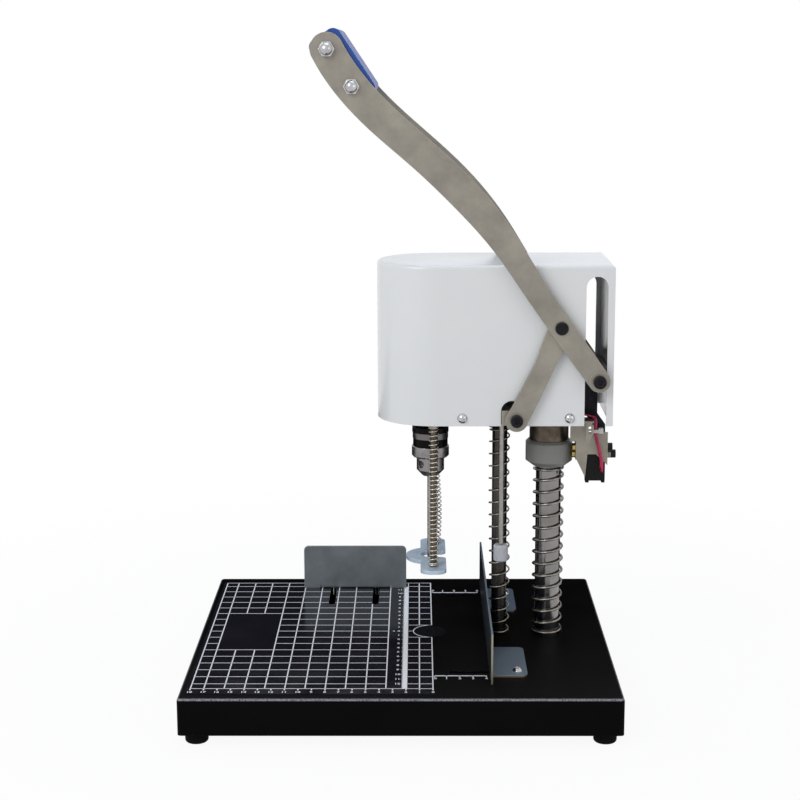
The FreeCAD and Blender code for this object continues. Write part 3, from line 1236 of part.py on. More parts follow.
def link():
    low = V(LINK_X, 0, LINK_Z)
    line = V(PIVOT_X, 0, PIVOT_Z) - low
    across = V(-line.z, 0, line.x).normalize()
    left = [low + line * share + across * reach for share, reach, _ in LINK_EDGES]
    right = [low + line * share - across * reach for share, _, reach in LINK_EDGES]
    edges = [spline(left), Part.LineSegment(left[-1], right[-1]).toShape(), spline(right),
             Part.LineSegment(left[0], right[0]).toShape()]
    bar = Part.Face(Part.Wire(Part.__sortEdges__(edges))).extrude(V(0, BAR_SHEET, 0))
    bar.translate(V(0, -LINK_OUTER, 0))
    strap = bar.fuse([rod_y(2 * LINK_END_RADIUS, LINK_X, LINK_Z, -LINK_OUTER, -LINK_INNER),
                      rod_y(LINK_WIDTH, PIVOT_X, PIVOT_Z, -LINK_OUTER, -LINK_INNER)]).removeSplitter()
    cuts = [rod_y(JOURNAL_DIAMETER + 2 * RUNNING, LINK_X, LINK_Z, -LINK_OUTER - 1, -LINK_INNER + 1),
            rod_y(PIN_DIAMETER + 2 * SIDE_GAP, PIVOT_X, PIVOT_Z, -LINK_OUTER - 1, -LINK_INNER + 1)]
    return strap.cut(cuts)


# ---- paper stop and back fence
def paper_stop():
    t = STOP_SHEET
    plate = block(STOP_LEFT, STOP_LEFT + t, STOP_FRONT, STOP_BACK, TABLE, TABLE + STOP_HEIGHT)
    parts = []
    for y0, y1 in STOP_FLANGES:
        flange = block(STOP_LEFT, STOP_FLANGE_RIGHT, y0, y1, TABLE, TABLE + t)
        corners = edges_where(flange, lambda b: b.XMin > STOP_FLANGE_RIGHT - 1e-3 and b.ZLength > 1e-3
                              and b.YLength < 1e-6)
        parts.append(flange.makeFillet(STOP_CORNER, corners))
    stop = plate.fuse(parts).removeSplitter()
    hole = CLAMP_SCREW_DIAMETER + 2 * SLIP
    holes = [rod(hole, STOP_SCREW_X, side * STOP_SCREW_Y, TABLE - 1, TABLE + t + 1) for side in SIDES]
    return stop.cut(holes)


def clamp_screw(x, y, seat):
    """A pan head screw that points down, with its head on seat."""
    head = pan_head(CLAMP_SCREW_HEAD_DIAMETER, CLAMP_SCREW_HEAD, 0, 0, 0)
    head.rotate(V(0, 0, 0), V(1, 0, 0), -90)
    head.translate(V(x, y, seat + CLAMP_SCREW_HEAD))
    shank = rod(CLAMP_SCREW_DIAMETER, x, y, UNDERSIDE - CLAMP_SCREW_BELOW, seat)
    return head.fuse(shank).removeSplitter()


def paper_stop_screws():
    return [clamp_screw(STOP_SCREW_X, side * STOP_SCREW_Y, TABLE + STOP_SHEET) for side in SIDES]


def clamp_nut(x, y):
    half = CLAMP_NUT_SIZE / 2
    top = UNDERSIDE - CLAMP_NUT_GAP
    nut = block(x - half, x + half, y - half, y + half, top - CLAMP_NUT_HEIGHT, top)
    return nut.cut(rod(CLAMP_SCREW_DIAMETER + 2 * SLIP, x, y, top - CLAMP_NUT_HEIGHT - 1, top + 1))


def paper_stop_nuts():
    return [clamp_nut(STOP_SCREW_X, side * STOP_SCREW_Y) for side in SIDES]


def back_fence():
    t = FENCE_SHEET
    z0 = FENCE_BOTTOM
    plate = block(FENCE_LEFT, FENCE_RIGHT, FENCE_FRONT, FENCE_FRONT + t, z0, z0 + FENCE_HEIGHT)
    plate = round_upright(plate, FENCE_CORNER, z0 + FENCE_HEIGHT / 2)
    left = FENCE_LEFT + FENCE_FLANGE_INSET
    right = FENCE_RIGHT - FENCE_FLANGE_INSET
    flange = block(left, right, FENCE_FRONT, FENCE_FRONT + t + FENCE_FLANGE_DEPTH, z0, z0 + t)
    fence = plate.fuse(flange).removeSplitter()
    cuts = []
    for x in (left, right):
        half = FENCE_NOTCH_WIDTH / 2
        cuts.append(block(x - half, x + half, FENCE_FRONT - 1, FENCE_FRONT + t + 1, z0 - 1,
                          z0 + FENCE_NOTCH_HEIGHT))
    for x in FENCE_SCREW_XS:
        cuts.append(rod(CLAMP_SCREW_DIAMETER + 2 * SLIP, x, FENCE_SCREW_Y, z0 - 1, z0 + t + 1))
    fence = fence.cut(cuts)
    bend = edges_where(fence, lambda b: b.XMin > left and b.XMax < right and b.XLength > (right - left) / 2
                       and b.ZMax < z0 + 1e-3 and b.YMax < FENCE_FRONT + 1e-3)
    return fence.makeFillet(FENCE_BEND, bend)


def back_fence_screws():
    return [clamp_screw(x, FENCE_SCREW_Y, FENCE_BOTTOM + FENCE_SHEET) for x in FENCE_SCREW_XS]


# ---- write every piece
def save(name, shapes):
    solids = []
    for shape in (shapes if isinstance(shapes, list) else [shapes]):
        solids += shape.Solids
    whole = solids[0] if len(solids) == 1 else Part.makeCompound(solids)
    whole.exportStep(os.path.join("parts", name + ".step"))


os.makedirs("parts", exist_ok=True)
save("base_tray", base_tray())
save("feet", feet())
save("scale_film", scale_film())
save("cutting_pad", cutting_pad())
save("pad_cup", pad_cup())
save("column_plate", column_plate())
save("thick_column", thick_column())
save("thin_column", thin_column())
save("column_nuts", column_nuts())
save("main_spring", main_spring())
save("guide_spring", guide_spring())
save("fulcrum_bracket", fulcrum_bracket())
save("fulcrum_bolts", fulcrum_bolts())
save("fulcrum_washers", fulcrum_washers())
save("trip_arm", trip_arm())

save("head_plate", head_plate())
save("cover", cover())
save("cover_screws", cover_screws())
save("bearing_housing", bearing_housing())
save("spring_collar", spring_collar())
save("guide_bush", guide_bush())
save("motor_can", motor_can())
save("motor_end_cap", motor_end_cap())
save("presser_bushes", presser_bushes())
save("presser_spring_front", presser_spring(-1, FRONT_SPRING_DIAMETER, 0.0))
save("presser_spring_rear", presser_spring(1, REAR_SPRING_DIAMETER, REAR_SPRING_BOW))
save("stop_rod", stop_rod())
save("stop_cap", stop_cap())
save("link_bolts", link_bolts())
save("switch_bracket", switch_bracket())
save("microswitch", microswitch())
save("microswitch_screws", microswitch_screws())
save("microswitch_spacer", microswitch_spacer())
save("microswitch_nuts", microswitch_nuts())
save("switch_leads", switch_leads())
save("cable_tie", cable_tie())
save("cable_gland", cable_gland())

save("spindle_shaft", spindle_shaft())
save("chuck_body", chuck_body())
save("chuck_ring", chuck_ring())
for number in range(JAW_COUNT):
    save("chuck_jaw_%d" % (number + 1), chuck_jaw(number))
save("drill_bit", drill_bit())
save("switch_plunger", switch_plunger())

save("lever_plate_front", lever_plate())
save("lever_plate_rear", mirrored(lever_plate()))
save("lever_grip", lever_grip())
save("grip_nuts", grip_nuts())
save("lever_pins", lever_pins())
save("link_front", link())
save("link_rear", mirrored(link()))

save("presser_foot", presser_foot())
save("presser_rods", presser_rods())
save("rod_clips", rod_clips())
save("paper_stop", paper_stop())
save("paper_stop_screws", paper_stop_screws())
save("paper_stop_nuts", paper_stop_nuts())
save("back_fence", back_fence())
save("back_fence_screws", back_fence_screws())
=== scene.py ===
import math
import bmesh
import bpy
from mathutils import Matrix, Vector


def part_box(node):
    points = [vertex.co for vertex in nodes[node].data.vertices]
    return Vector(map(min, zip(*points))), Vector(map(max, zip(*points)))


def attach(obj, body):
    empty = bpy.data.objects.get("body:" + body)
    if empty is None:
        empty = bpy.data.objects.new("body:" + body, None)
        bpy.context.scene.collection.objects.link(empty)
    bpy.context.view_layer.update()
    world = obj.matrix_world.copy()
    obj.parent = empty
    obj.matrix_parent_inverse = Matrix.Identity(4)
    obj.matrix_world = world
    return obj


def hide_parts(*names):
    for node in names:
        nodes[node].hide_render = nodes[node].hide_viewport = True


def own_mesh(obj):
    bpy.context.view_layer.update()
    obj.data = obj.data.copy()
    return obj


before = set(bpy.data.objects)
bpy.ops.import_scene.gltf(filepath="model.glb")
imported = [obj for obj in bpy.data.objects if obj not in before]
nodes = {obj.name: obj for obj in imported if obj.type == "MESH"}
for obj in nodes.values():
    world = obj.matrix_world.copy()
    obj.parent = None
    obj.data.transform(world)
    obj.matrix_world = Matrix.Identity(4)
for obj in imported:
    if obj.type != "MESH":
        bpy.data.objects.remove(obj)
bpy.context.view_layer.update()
bpy.ops.object.select_all(action="DESELECT")
print("loaded", len(nodes), "nodes")

mm = 0.001


def linear(hexColour):
    # sRGB hex to the linear colour that a shader works in
    parts = [int(hexColour[i:i + 2], 16) / 255 for i in (1, 3, 5)]
    return [p / 12.92 if p < 0.04045 else ((p + 0.055) / 1.055) ** 2.4 for p in parts] + [1]


def addNode(tree, kind, sockets, **settings):
    # a value goes into the socket, and another node's output is linked to it
    made = tree.nodes.new(kind)
    for name, value in settings.items():
        setattr(made, name, value)
    for name, value in sockets.items():
        if isinstance(value, bpy.types.NodeSocket):
            tree.links.new(value, made.inputs[name])
        else:
            made.inputs[name].default_value = value
    return made


def startFinish(name):
    material = bpy.data.materials.new(name)
    material.use_nodes = True
    tree = material.node_tree
    place = addNode(tree, "ShaderNodeTexCoord", {}).outputs["Object"]
    return material, tree, tree.nodes["Principled BSDF"], place


# how wide a rubbed edge is, and how far the rounded normal leans where the rubbing starts and is full
edgeWear = {"metal": 0.5 * mm, "coat": 0.4 * mm, "samples": 4, "rubbed": (0.995, 0.8)}


def edgeMask(tree, radius):
    # 1 along an edge and 0 on the flats, from how far a rounded normal leans from the real one
    bevel = addNode(tree, "ShaderNodeBevel", {"Radius": radius}, samples=edgeWear["samples"])
    rounded = bevel.outputs["Normal"]
    real = addNode(tree, "ShaderNodeNewGeometry", {}).outputs["Normal"]
    lean = addNode(tree, "ShaderNodeVectorMath", {0: rounded, 1: real}, operation="DOT_PRODUCT")
    starts, full = edgeWear["rubbed"]
    mask = addNode(tree, "ShaderNodeMapRange",
                   {"Value": lean.outputs["Value"], "From Min": starts, "From Max": full})
    return mask.outputs["Result"], rounded


# metals: a tone that drifts in blotches, a directional grain in the gloss, lighter edges
metals = {
    # zinc-plated mild steel strip, passivated: dull, warm grey with cloudy patches and rubbed edges
    "zincPlatedStrip": {"tones": ("#86827a", "#9b968b"), "edge": "#cbc8be", "blotch": 22 * mm,
                        "grain": 0.7 * mm, "stretch": (1, 1, 1), "gloss": (0.42, 0.56), "metallic": 0.7,
                        "bump": 0.012 * mm},
    # bright zinc-plated folded sheet: blue-grey, with the faint rolling lines of the sheet
    "zincPlatedSheet": {"tones": ("#7c8388", "#929ba1"), "edge": "#c3cdd3", "blotch": 25 * mm,
                        "grain": 0.8 * mm, "stretch": (1, 1, 0.08), "gloss": (0.3, 0.44), "metallic": 0.6,
                        "bump": 0.008 * mm},
    # the same plating in a much darker tone, on a stop that is pushed about by hand: faces along Y take the
    # warmer tone of its sheared ends, and faces along Z, the flanges among them, take a painted pale sheen
    # standing for the light from above
    "darkStopSheet": {"tones": ("#2a2f34", "#3a4046"), "edge": "#a9b4ba", "blotch": 20 * mm, "grain": 0.8 * mm,
                    "stretch": (1, 0.08, 1), "gloss": (0.34, 0.48), "metallic": 0.7, "bump": 0.008 * mm,
                    "cutEndsAndSheen": (("Y", "#9a9484"), ("Z", "#8090a0"))},
    # zinc plating on the thick plate of the presser foot, in a paler and bluer tone than the other plated
    # parts, with an even sheen
    "paleZinc": {"tones": ("#b2c4d8", "#c8daec"), "edge": "#dfe7ec", "blotch": 12 * mm, "grain": 0.8 * mm,
                  "stretch": (1, 1, 1), "gloss": (0.34, 0.46), "metallic": 0.45, "bump": 0.008 * mm},
    # hardened and centreless-ground shaft: even, with fine rings of the grinding wheel
    "groundShaft": {"tones": ("#7b7876", "#928f8f"), "edge": "#c4c4c8", "blotch": 30 * mm, "grain": 0.9 * mm,
                    "stretch": (0.03, 0.03, 1), "gloss": (0.13, 0.22), "metallic": 1, "bump": 0.004 * mm},
    # the thin guide shaft: the ground steel in a much darker tone than the thick one, and a little rougher
    "darkShaft": {"tones": ("#383533", "#4d4946"), "edge": "#a19c96", "blotch": 26 * mm, "grain": 0.9 * mm,
                  "stretch": (0.03, 0.03, 1), "gloss": (0.2, 0.34), "metallic": 1, "bump": 0.004 * mm},
    # oil-tempered spring wire of the two big springs: mid grey, with thin highlights along the wire
    "temperedWire": {"tones": ("#77736e", "#9a9690"), "edge": "#9a9690", "blotch": 6 * mm, "grain": 0.5 * mm,
                     "stretch": (1, 1, 1), "gloss": (0.2, 0.34), "metallic": 1, "bump": 0.004 * mm},
    # cold-drawn spring wire, nickel bright: white highlights that run along the wire
    "springWire": {"tones": ("#b3aea4", "#cbc7bf"), "edge": "#cbc7bf", "blotch": 6 * mm, "grain": 0.5 * mm,
                   "stretch": (1, 1, 1), "gloss": (0.16, 0.3), "metallic": 1, "bump": 0.004 * mm},
    # turned steel left oily: dark with a brownish cast and tool rings
    "turnedDarkSteel": {"tones": ("#4c443b", "#6a6157"), "edge": "#9a9187", "blotch": 9 * mm,
                        "grain": 0.7 * mm, "stretch": (0.04, 0.04, 1), "gloss": (0.28, 0.42), "metallic": 1,
                        "bump": 0.01 * mm},
    # turned chuck steel: cap and shoulder blackened, the band between them and the body below left bright;
    # each zone gives the height in mm that it starts at and its tone
    "chuckSteel": {"tones": ("#141415", "#1d1c1d"), "edge": "#3c3b3b", "blotch": 5 * mm, "grain": 0.5 * mm,
                   "stretch": (0.05, 0.05, 1), "gloss": (0.25, 0.42), "metallic": 1, "bump": 0.008 * mm,
                   "zones": ((204.9, "#726d6c"), (200, "#171718"), (193.9, "#8b8888"))},
    # the knurled ring of the chuck: bright turned steel, grey in its grooves
    "ringSteel": {"tones": ("#7d797a", "#999596"), "edge": "#b9b6b6", "blotch": 5 * mm, "grain": 0.5 * mm,
                  "stretch": (0.05, 0.05, 1), "gloss": (0.25, 0.4), "metallic": 1, "bump": 0.008 * mm},
    # machined steel, clear of rust: mid grey with short tool marks
    "machinedSteel": {"tones": ("#8a8883", "#a5a29c"), "edge": "#c9c6bf", "blotch": 8 * mm, "grain": 0.6 * mm,
                      "stretch": (0.1, 0.1, 1), "gloss": (0.24, 0.4), "metallic": 1, "bump": 0.006 * mm},
    # black-oxide fastener steel: nearly black, with a dull oily sheen
    "blackOxide": {"tones": ("#17171a", "#26262a"), "edge": "#55555a", "blotch": 4 * mm, "grain": 0.6 * mm,
                   "stretch": (1, 1, 1), "gloss": (0.34, 0.5), "metallic": 0.9, "bump": 0.01 * mm},
    # chrome-plated dome nut or pan head: mirror bright
    "chromePlate": {"tones": ("#a9a9ab", "#c2c2c4"), "edge": "#e2e2e4", "blotch": 5 * mm, "grain": 0.8 * mm,
                    "stretch": (1, 1, 1), "gloss": (0.08, 0.16), "metallic": 1, "bump": 0.003 * mm},
    # small hardware, zinc-plated and passivated yellow: a warm brassy glint
    "brassHardware": {"tones": ("#a58a4d", "#c3a765"), "edge": "#dcc88f", "blotch": 3 * mm, "grain": 0.5 * mm,
                      "stretch": (1, 1, 1), "gloss": (0.2, 0.34), "metallic": 1, "bump": 0.004 * mm},
}
# how the cloudy patches and the grain spread, and how squarely a face must look along Y or Z to take the tone
# given for that axis
metalPattern = {"cloudDetail": 5, "cloudRoughness": 0.62, "cloud": (0.32, 0.68), "grainDetail": 3,
                "grain": (0.3, 0.7), "facingSpan": (0.7, 0.9)}


def metal(name):
    look = metals[name]
    material, tree, shader, place = startFinish(name)
    cloud = addNode(tree, "ShaderNodeTexNoise",
                    {"Vector": place, "Scale": 1 / look["blotch"], "Detail": metalPattern["cloudDetail"],
                     "Roughness": metalPattern["cloudRoughness"]})
    low, high = metalPattern["cloud"]
    spread = addNode(tree, "ShaderNodeMapRange",
                     {"Value": cloud.outputs["Fac"], "From Min": low, "From Max": high})
    tone = addNode(tree, "ShaderNodeMix", {"Factor": spread.outputs["Result"], "A": linear(look["tones"][0]),
                                           "B": linear(look["tones"][1])}, data_type="RGBA")
    edges, rounded = edgeMask(tree, edgeWear["metal"])
    colour = addNode(tree, "ShaderNodeMix", {"Factor": edges, "A": tone.outputs["Result"],
                                             "B": linear(look["edge"])}, data_type="RGBA")
    # faces along Y take the warmer tone of sheared ends; faces along Z take a painted pale sheen standing for
    # the light from above
    if "cutEndsAndSheen" in look:
        normal = addNode(tree, "ShaderNodeNewGeometry", {}).outputs["Normal"]
        along = addNode(tree, "ShaderNodeSeparateXYZ", {"Vector": normal})
        for axis, faceTone in look["cutEndsAndSheen"]:
            facing = addNode(tree, "ShaderNodeMath", {0: along.outputs[axis]}, operation="ABSOLUTE")
            low, high = metalPattern["facingSpan"]
            facingShare = addNode(tree, "ShaderNodeMapRange",
                          {"Value": facing.outputs["Value"], "From Min": low, "From Max": high})
            colour = addNode(tree, "ShaderNodeMix",
                             {"Factor": facingShare.outputs["Result"], "A": colour.outputs["Result"],
                              "B": linear(faceTone)}, data_type="RGBA")
    if "zones" in look:
        # turned bands, each with its own tone, from the top down
        height = addNode(tree, "ShaderNodeSeparateXYZ", {"Vector": place}).outputs["Z"]
        for below, zoneTone in look["zones"]:
            inside = addNode(tree, "ShaderNodeMath", {0: height, 1: below * mm}, operation="LESS_THAN")
            colour = addNode(tree, "ShaderNodeMix", {"Factor": inside.outputs["Value"],
                                                     "A": colour.outputs["Result"], "B": linear(zoneTone)},
                             data_type="RGBA")
    drawn = addNode(tree, "ShaderNodeMapping", {"Vector": place, "Scale": look["stretch"]})
    grain = addNode(tree, "ShaderNodeTexNoise",
                    {"Vector": drawn.outputs["Vector"], "Scale": 1 / look["grain"],
                     "Detail": metalPattern["grainDetail"]})
    low, high = metalPattern["grain"]
    gloss = addNode(tree, "ShaderNodeMapRange",
                    {"Value": grain.outputs["Fac"], "From Min": low, "From Max": high,
                     "To Min": look["gloss"][0], "To Max": look["gloss"][1]})
    relief = addNode(tree, "ShaderNodeBump", {"Height": grain.outputs["Fac"], "Distance": look["bump"],
                                              "Strength": 1, "Normal": rounded})
    tree.links.new(colour.outputs["Result"], shader.inputs["Base Color"])
    tree.links.new(gloss.outputs["Result"], shader.inputs["Roughness"])
    tree.links.new(relief.outputs["Normal"], shader.inputs["Normal"])
    shader.inputs["Metallic"].default_value = look["metallic"]
    return material


# paints, plastics and rubber: an even colour, a little dust, and the relief of how they were made
coats = {
    # polyester powder coat on folded steel: a fine orange peel that breaks up the highlights, and a painted
    # highlight along the bends
    "powderCoat": {"tones": ("#090808", "#100e0f"), "edge": "#4a4a4e", "cloud": 40 * mm, "peel": 1.3 * mm,
                   "bump": 0.05 * mm, "gloss": (0.36, 0.48), "specular": 0.02, "ior": 1.5, "bend": "#a2a0ab"},
    # gloss enamel on thin steel: very smooth, with a long shallow ripple
    "glossEnamel": {"tones": ("#e4e6e8", "#eceded"), "edge": "#f7f8f8", "cloud": 60 * mm, "peel": 5 * mm,
                    "bump": 0.012 * mm, "gloss": (0.16, 0.24), "specular": 0.5, "ior": 1.5},
    # moulded rubber of the feet: dull, nearly black, with no clear highlight
    "mouldedRubber": {"tones": ("#0c0c0d", "#161615"), "edge": "#2b2a28", "cloud": 6 * mm, "peel": 0.8 * mm,
                      "bump": 0.05 * mm, "gloss": (0.62, 0.78), "specular": 0.04, "ior": 1.52},
    # turned black nylon: satin with tool rings
    "blackNylon": {"tones": ("#0f0f12", "#191a1e"), "edge": "#333335", "cloud": 8 * mm, "peel": 0.7 * mm,
                   "bump": 0.03 * mm, "gloss": (0.42, 0.56), "specular": 0.02, "ior": 1.53},
    # natural grey nylon, machined: waxy, with light that sinks in a little
    "greyNylon": {"tones": ("#7d7c78", "#8f8e8a"), "edge": "#a5a4a0", "cloud": 10 * mm, "peel": 0.8 * mm,
                  "bump": 0.02 * mm, "gloss": (0.4, 0.52), "specular": 0.45, "ior": 1.53, "glow": 0.12},
    # natural nylon: milky, and soft in its shadows as light passes through
    "milkyNylon": {"tones": ("#b6b9c0", "#cfd2d8"), "edge": "#e8e9ee", "cloud": 6 * mm, "peel": 0.8 * mm,
                   "bump": 0.02 * mm, "gloss": (0.36, 0.48), "specular": 0.45, "ior": 1.53, "glow": 0.35},
    # clear nylon of the cable tie: pale, with soft shadows and small sharp highlights
    "clearNylon": {"tones": ("#cfcfcb", "#dedfdb"), "edge": "#f2f2ef", "cloud": 4 * mm, "peel": 0.6 * mm,
                   "bump": 0.02 * mm, "gloss": (0.25, 0.36), "specular": 0.5, "ior": 1.53, "glow": 0.4},
    # glass-filled black moulding of switches and glands: fine spark texture
    "blackMoulding": {"tones": ("#0d0d0e", "#161617"), "edge": "#37373a", "cloud": 7 * mm, "peel": 0.5 * mm,
                      "bump": 0.02 * mm, "gloss": (0.36, 0.5), "specular": 0.12, "ior": 1.55},
    # soft PVC insulation of the leads: smooth deep pink with a long highlight
    "leadInsulation": {"tones": ("#b3164a", "#cc2a5c"), "edge": "#de5c84", "cloud": 5 * mm, "peel": 0.8 * mm,
                       "bump": 0.01 * mm, "gloss": (0.26, 0.38), "specular": 0.5, "ior": 1.53, "glow": 0.1},
    # blue dip-moulded vinyl handle: satin, slightly uneven
    "blueVinyl": {"tones": ("#173f8f", "#2457ad"), "edge": "#4d7cc8", "cloud": 12 * mm, "peel": 1.2 * mm,
                  "bump": 0.06 * mm, "gloss": (0.34, 0.5), "specular": 0.45, "ior": 1.53, "glow": 0.05},
}
# how the clouds, the scuffs along the edges and the relief spread, and how deep light sinks in
coatPattern = {"cloudDetail": 4, "cloudRoughness": 0.6, "cloud": (0.35, 0.65), "scuff": 3 * mm,
               "scuffDetail": 3, "scuffs": (0.42, 0.62), "peelDetail": 2, "glowReach": 2 * mm}
# a painted highlight band along a bent edge: where its normal leans, how wide the band is, and its specks
bend = {"lean": 0.6, "reach": 0.36, "core": 0.1, "speck": 1.0 * mm, "speckDetail": 4, "highlightSpecks": (0.25, 0.6)}


def coat(name):
    look = coats[name]
    material, tree, shader, place = startFinish(name)
    cloud = addNode(tree, "ShaderNodeTexNoise",
                    {"Vector": place, "Scale": 1 / look["cloud"], "Detail": coatPattern["cloudDetail"],
                     "Roughness": coatPattern["cloudRoughness"]})
    tone = addNode(tree, "ShaderNodeMix", {"Factor": cloud.outputs["Fac"], "A": linear(look["tones"][0]),
                                           "B": linear(look["tones"][1])}, data_type="RGBA")
    edges, rounded = edgeMask(tree, edgeWear["coat"])
    scuffs = addNode(tree, "ShaderNodeTexNoise", {"Vector": place, "Scale": 1 / coatPattern["scuff"],
                                                  "Detail": coatPattern["scuffDetail"]})
    low, high = coatPattern["scuffs"]
    wear = addNode(tree, "ShaderNodeMapRange",
                   {"Value": scuffs.outputs["Fac"], "From Min": low, "From Max": high})
    rubbed = addNode(tree, "ShaderNodeMath", {0: edges, 1: wear.outputs["Result"]}, operation="MULTIPLY")
    colour = addNode(tree, "ShaderNodeMix", {"Factor": rubbed.outputs["Value"], "A": tone.outputs["Result"],
                                             "B": linear(look["edge"])}, data_type="RGBA")
    if "bend" in look:
        # a painted highlight where the sheet is bent, in specks along the rounded edge
        normal = addNode(tree, "ShaderNodeNewGeometry", {}).outputs["Normal"]
        up = addNode(tree, "ShaderNodeSeparateXYZ", {"Vector": normal}).outputs["Z"]
        off = addNode(tree, "ShaderNodeMath", {0: up, 1: bend["lean"]}, operation="SUBTRACT")
        far = addNode(tree, "ShaderNodeMath", {0: off.outputs["Value"]}, operation="ABSOLUTE")
        band = addNode(tree, "ShaderNodeMapRange", {"Value": far.outputs["Value"], "From Min": bend["reach"],
                                                    "From Max": bend["core"]})
        highlightSpecks = addNode(tree, "ShaderNodeTexNoise", {"Vector": place, "Scale": 1 / bend["speck"],
                                                      "Detail": bend["speckDetail"]})
        low, high = bend["highlightSpecks"]
        rough = addNode(tree, "ShaderNodeMapRange",
                        {"Value": highlightSpecks.outputs["Fac"], "From Min": low, "From Max": high})
        share = addNode(tree, "ShaderNodeMath", {0: band.outputs["Result"], 1: rough.outputs["Result"]},
                        operation="MULTIPLY")
        colour = addNode(tree, "ShaderNodeMix",
                         {"Factor": share.outputs["Value"], "A": colour.outputs["Result"],
                          "B": linear(look["bend"])}, data_type="RGBA")
    low, high = coatPattern["cloud"]
    gloss = addNode(tree, "ShaderNodeMapRange",
                    {"Value": cloud.outputs["Fac"], "From Min": low, "From Max": high,
                     "To Min": look["gloss"][0], "To Max": look["gloss"][1]})
    peel = addNode(tree, "ShaderNodeTexNoise", {"Vector": place, "Scale": 1 / look["peel"],
                                                "Detail": coatPattern["peelDetail"]})
    relief = addNode(tree, "ShaderNodeBump", {"Height": peel.outputs["Fac"], "Distance": look["bump"],
                                              "Strength": 1, "Normal": rounded})
    tree.links.new(colour.outputs["Result"], shader.inputs["Base Color"])
    tree.links.new(gloss.outputs["Result"], shader.inputs["Roughness"])
    tree.links.new(relief.outputs["Normal"], shader.inputs["Normal"])
    shader.inputs["IOR"].default_value = look["ior"]
    shader.inputs["Specular IOR Level"].default_value = look["specular"]
    if "glow" in look:
        shader.inputs["Subsurface Weight"].default_value = look["glow"]
        shader.inputs["Subsurface Radius"].default_value = [coatPattern["glowReach"]] * 3
        shader.inputs["Subsurface Scale"].default_value = 1
    return material


film = {"tones": ("#1b191f", "#222027"), "cloud": 30 * mm, "cloudDetail": 4, "clouds": (0.35, 0.65),
        "wave": 9 * mm, "waveDetail": 1, "bump": 0.006 * mm, "gloss": (0.1, 0.2), "specular": 0.25}


def glossFilm():
    # second-surface printed polycarbonate film: a flat mirror-like face with a slight wave where it was laid
    material, tree, shader, place = startFinish("glossFilm")
    cloud = addNode(tree, "ShaderNodeTexNoise", {"Vector": place, "Scale": 1 / film["cloud"],
                                                 "Detail": film["cloudDetail"]})
    tone = addNode(tree, "ShaderNodeMix", {"Factor": cloud.outputs["Fac"], "A": linear(film["tones"][0]),
                                           "B": linear(film["tones"][1])}, data_type="RGBA")
    low, high = film["clouds"]
    gloss = addNode(tree, "ShaderNodeMapRange",
                    {"Value": cloud.outputs["Fac"], "From Min": low, "From Max": high,
                     "To Min": film["gloss"][0], "To Max": film["gloss"][1]})
    wave = addNode(tree, "ShaderNodeTexNoise", {"Vector": place, "Scale": 1 / film["wave"],
                                                "Detail": film["waveDetail"]})
    relief = addNode(tree, "ShaderNodeBump",
                     {"Height": wave.outputs["Fac"], "Distance": film["bump"], "Strength": 1})
    tree.links.new(tone.outputs["Result"], shader.inputs["Base Color"])
    tree.links.new(gloss.outputs["Result"], shader.inputs["Roughness"])
    tree.links.new(relief.outputs["Normal"], shader.inputs["Normal"])
    shader.inputs["Specular IOR Level"].default_value = film["specular"]
    return material


ink = {"tones": ("#eceef4", "#fcfcff"), "speck": 0.8 * mm, "detail": 3, "gloss": (0.5, 0.7)}


def screenInk():
    # white screen-print ink: matt, a little thin in places
    material, tree, shader, place = startFinish("screenInk")
    thin = addNode(tree, "ShaderNodeTexNoise", {"Vector": place, "Scale": 1 / ink["speck"],
                                                "Detail": ink["detail"]})
    tone = addNode(tree, "ShaderNodeMix", {"Factor": thin.outputs["Fac"], "A": linear(ink["tones"][0]),
                                           "B": linear(ink["tones"][1])}, data_type="RGBA")
    tree.links.new(tone.outputs["Result"], shader.inputs["Base Color"])
    gloss = addNode(tree, "ShaderNodeMapRange", {"Value": thin.outputs["Fac"], "To Min": ink["gloss"][0],
                                                 "To Max": ink["gloss"][1]})
    tree.links.new(gloss.outputs["Result"], shader.inputs["Roughness"])
    return material


finishes = {name: metal(name) for name in metals}
finishes.update({name: coat(name) for name in coats})
finishes["glossFilm"] = glossFilm()
finishes["screenInk"] = screenInk()
print("made", len(finishes), "finishes")

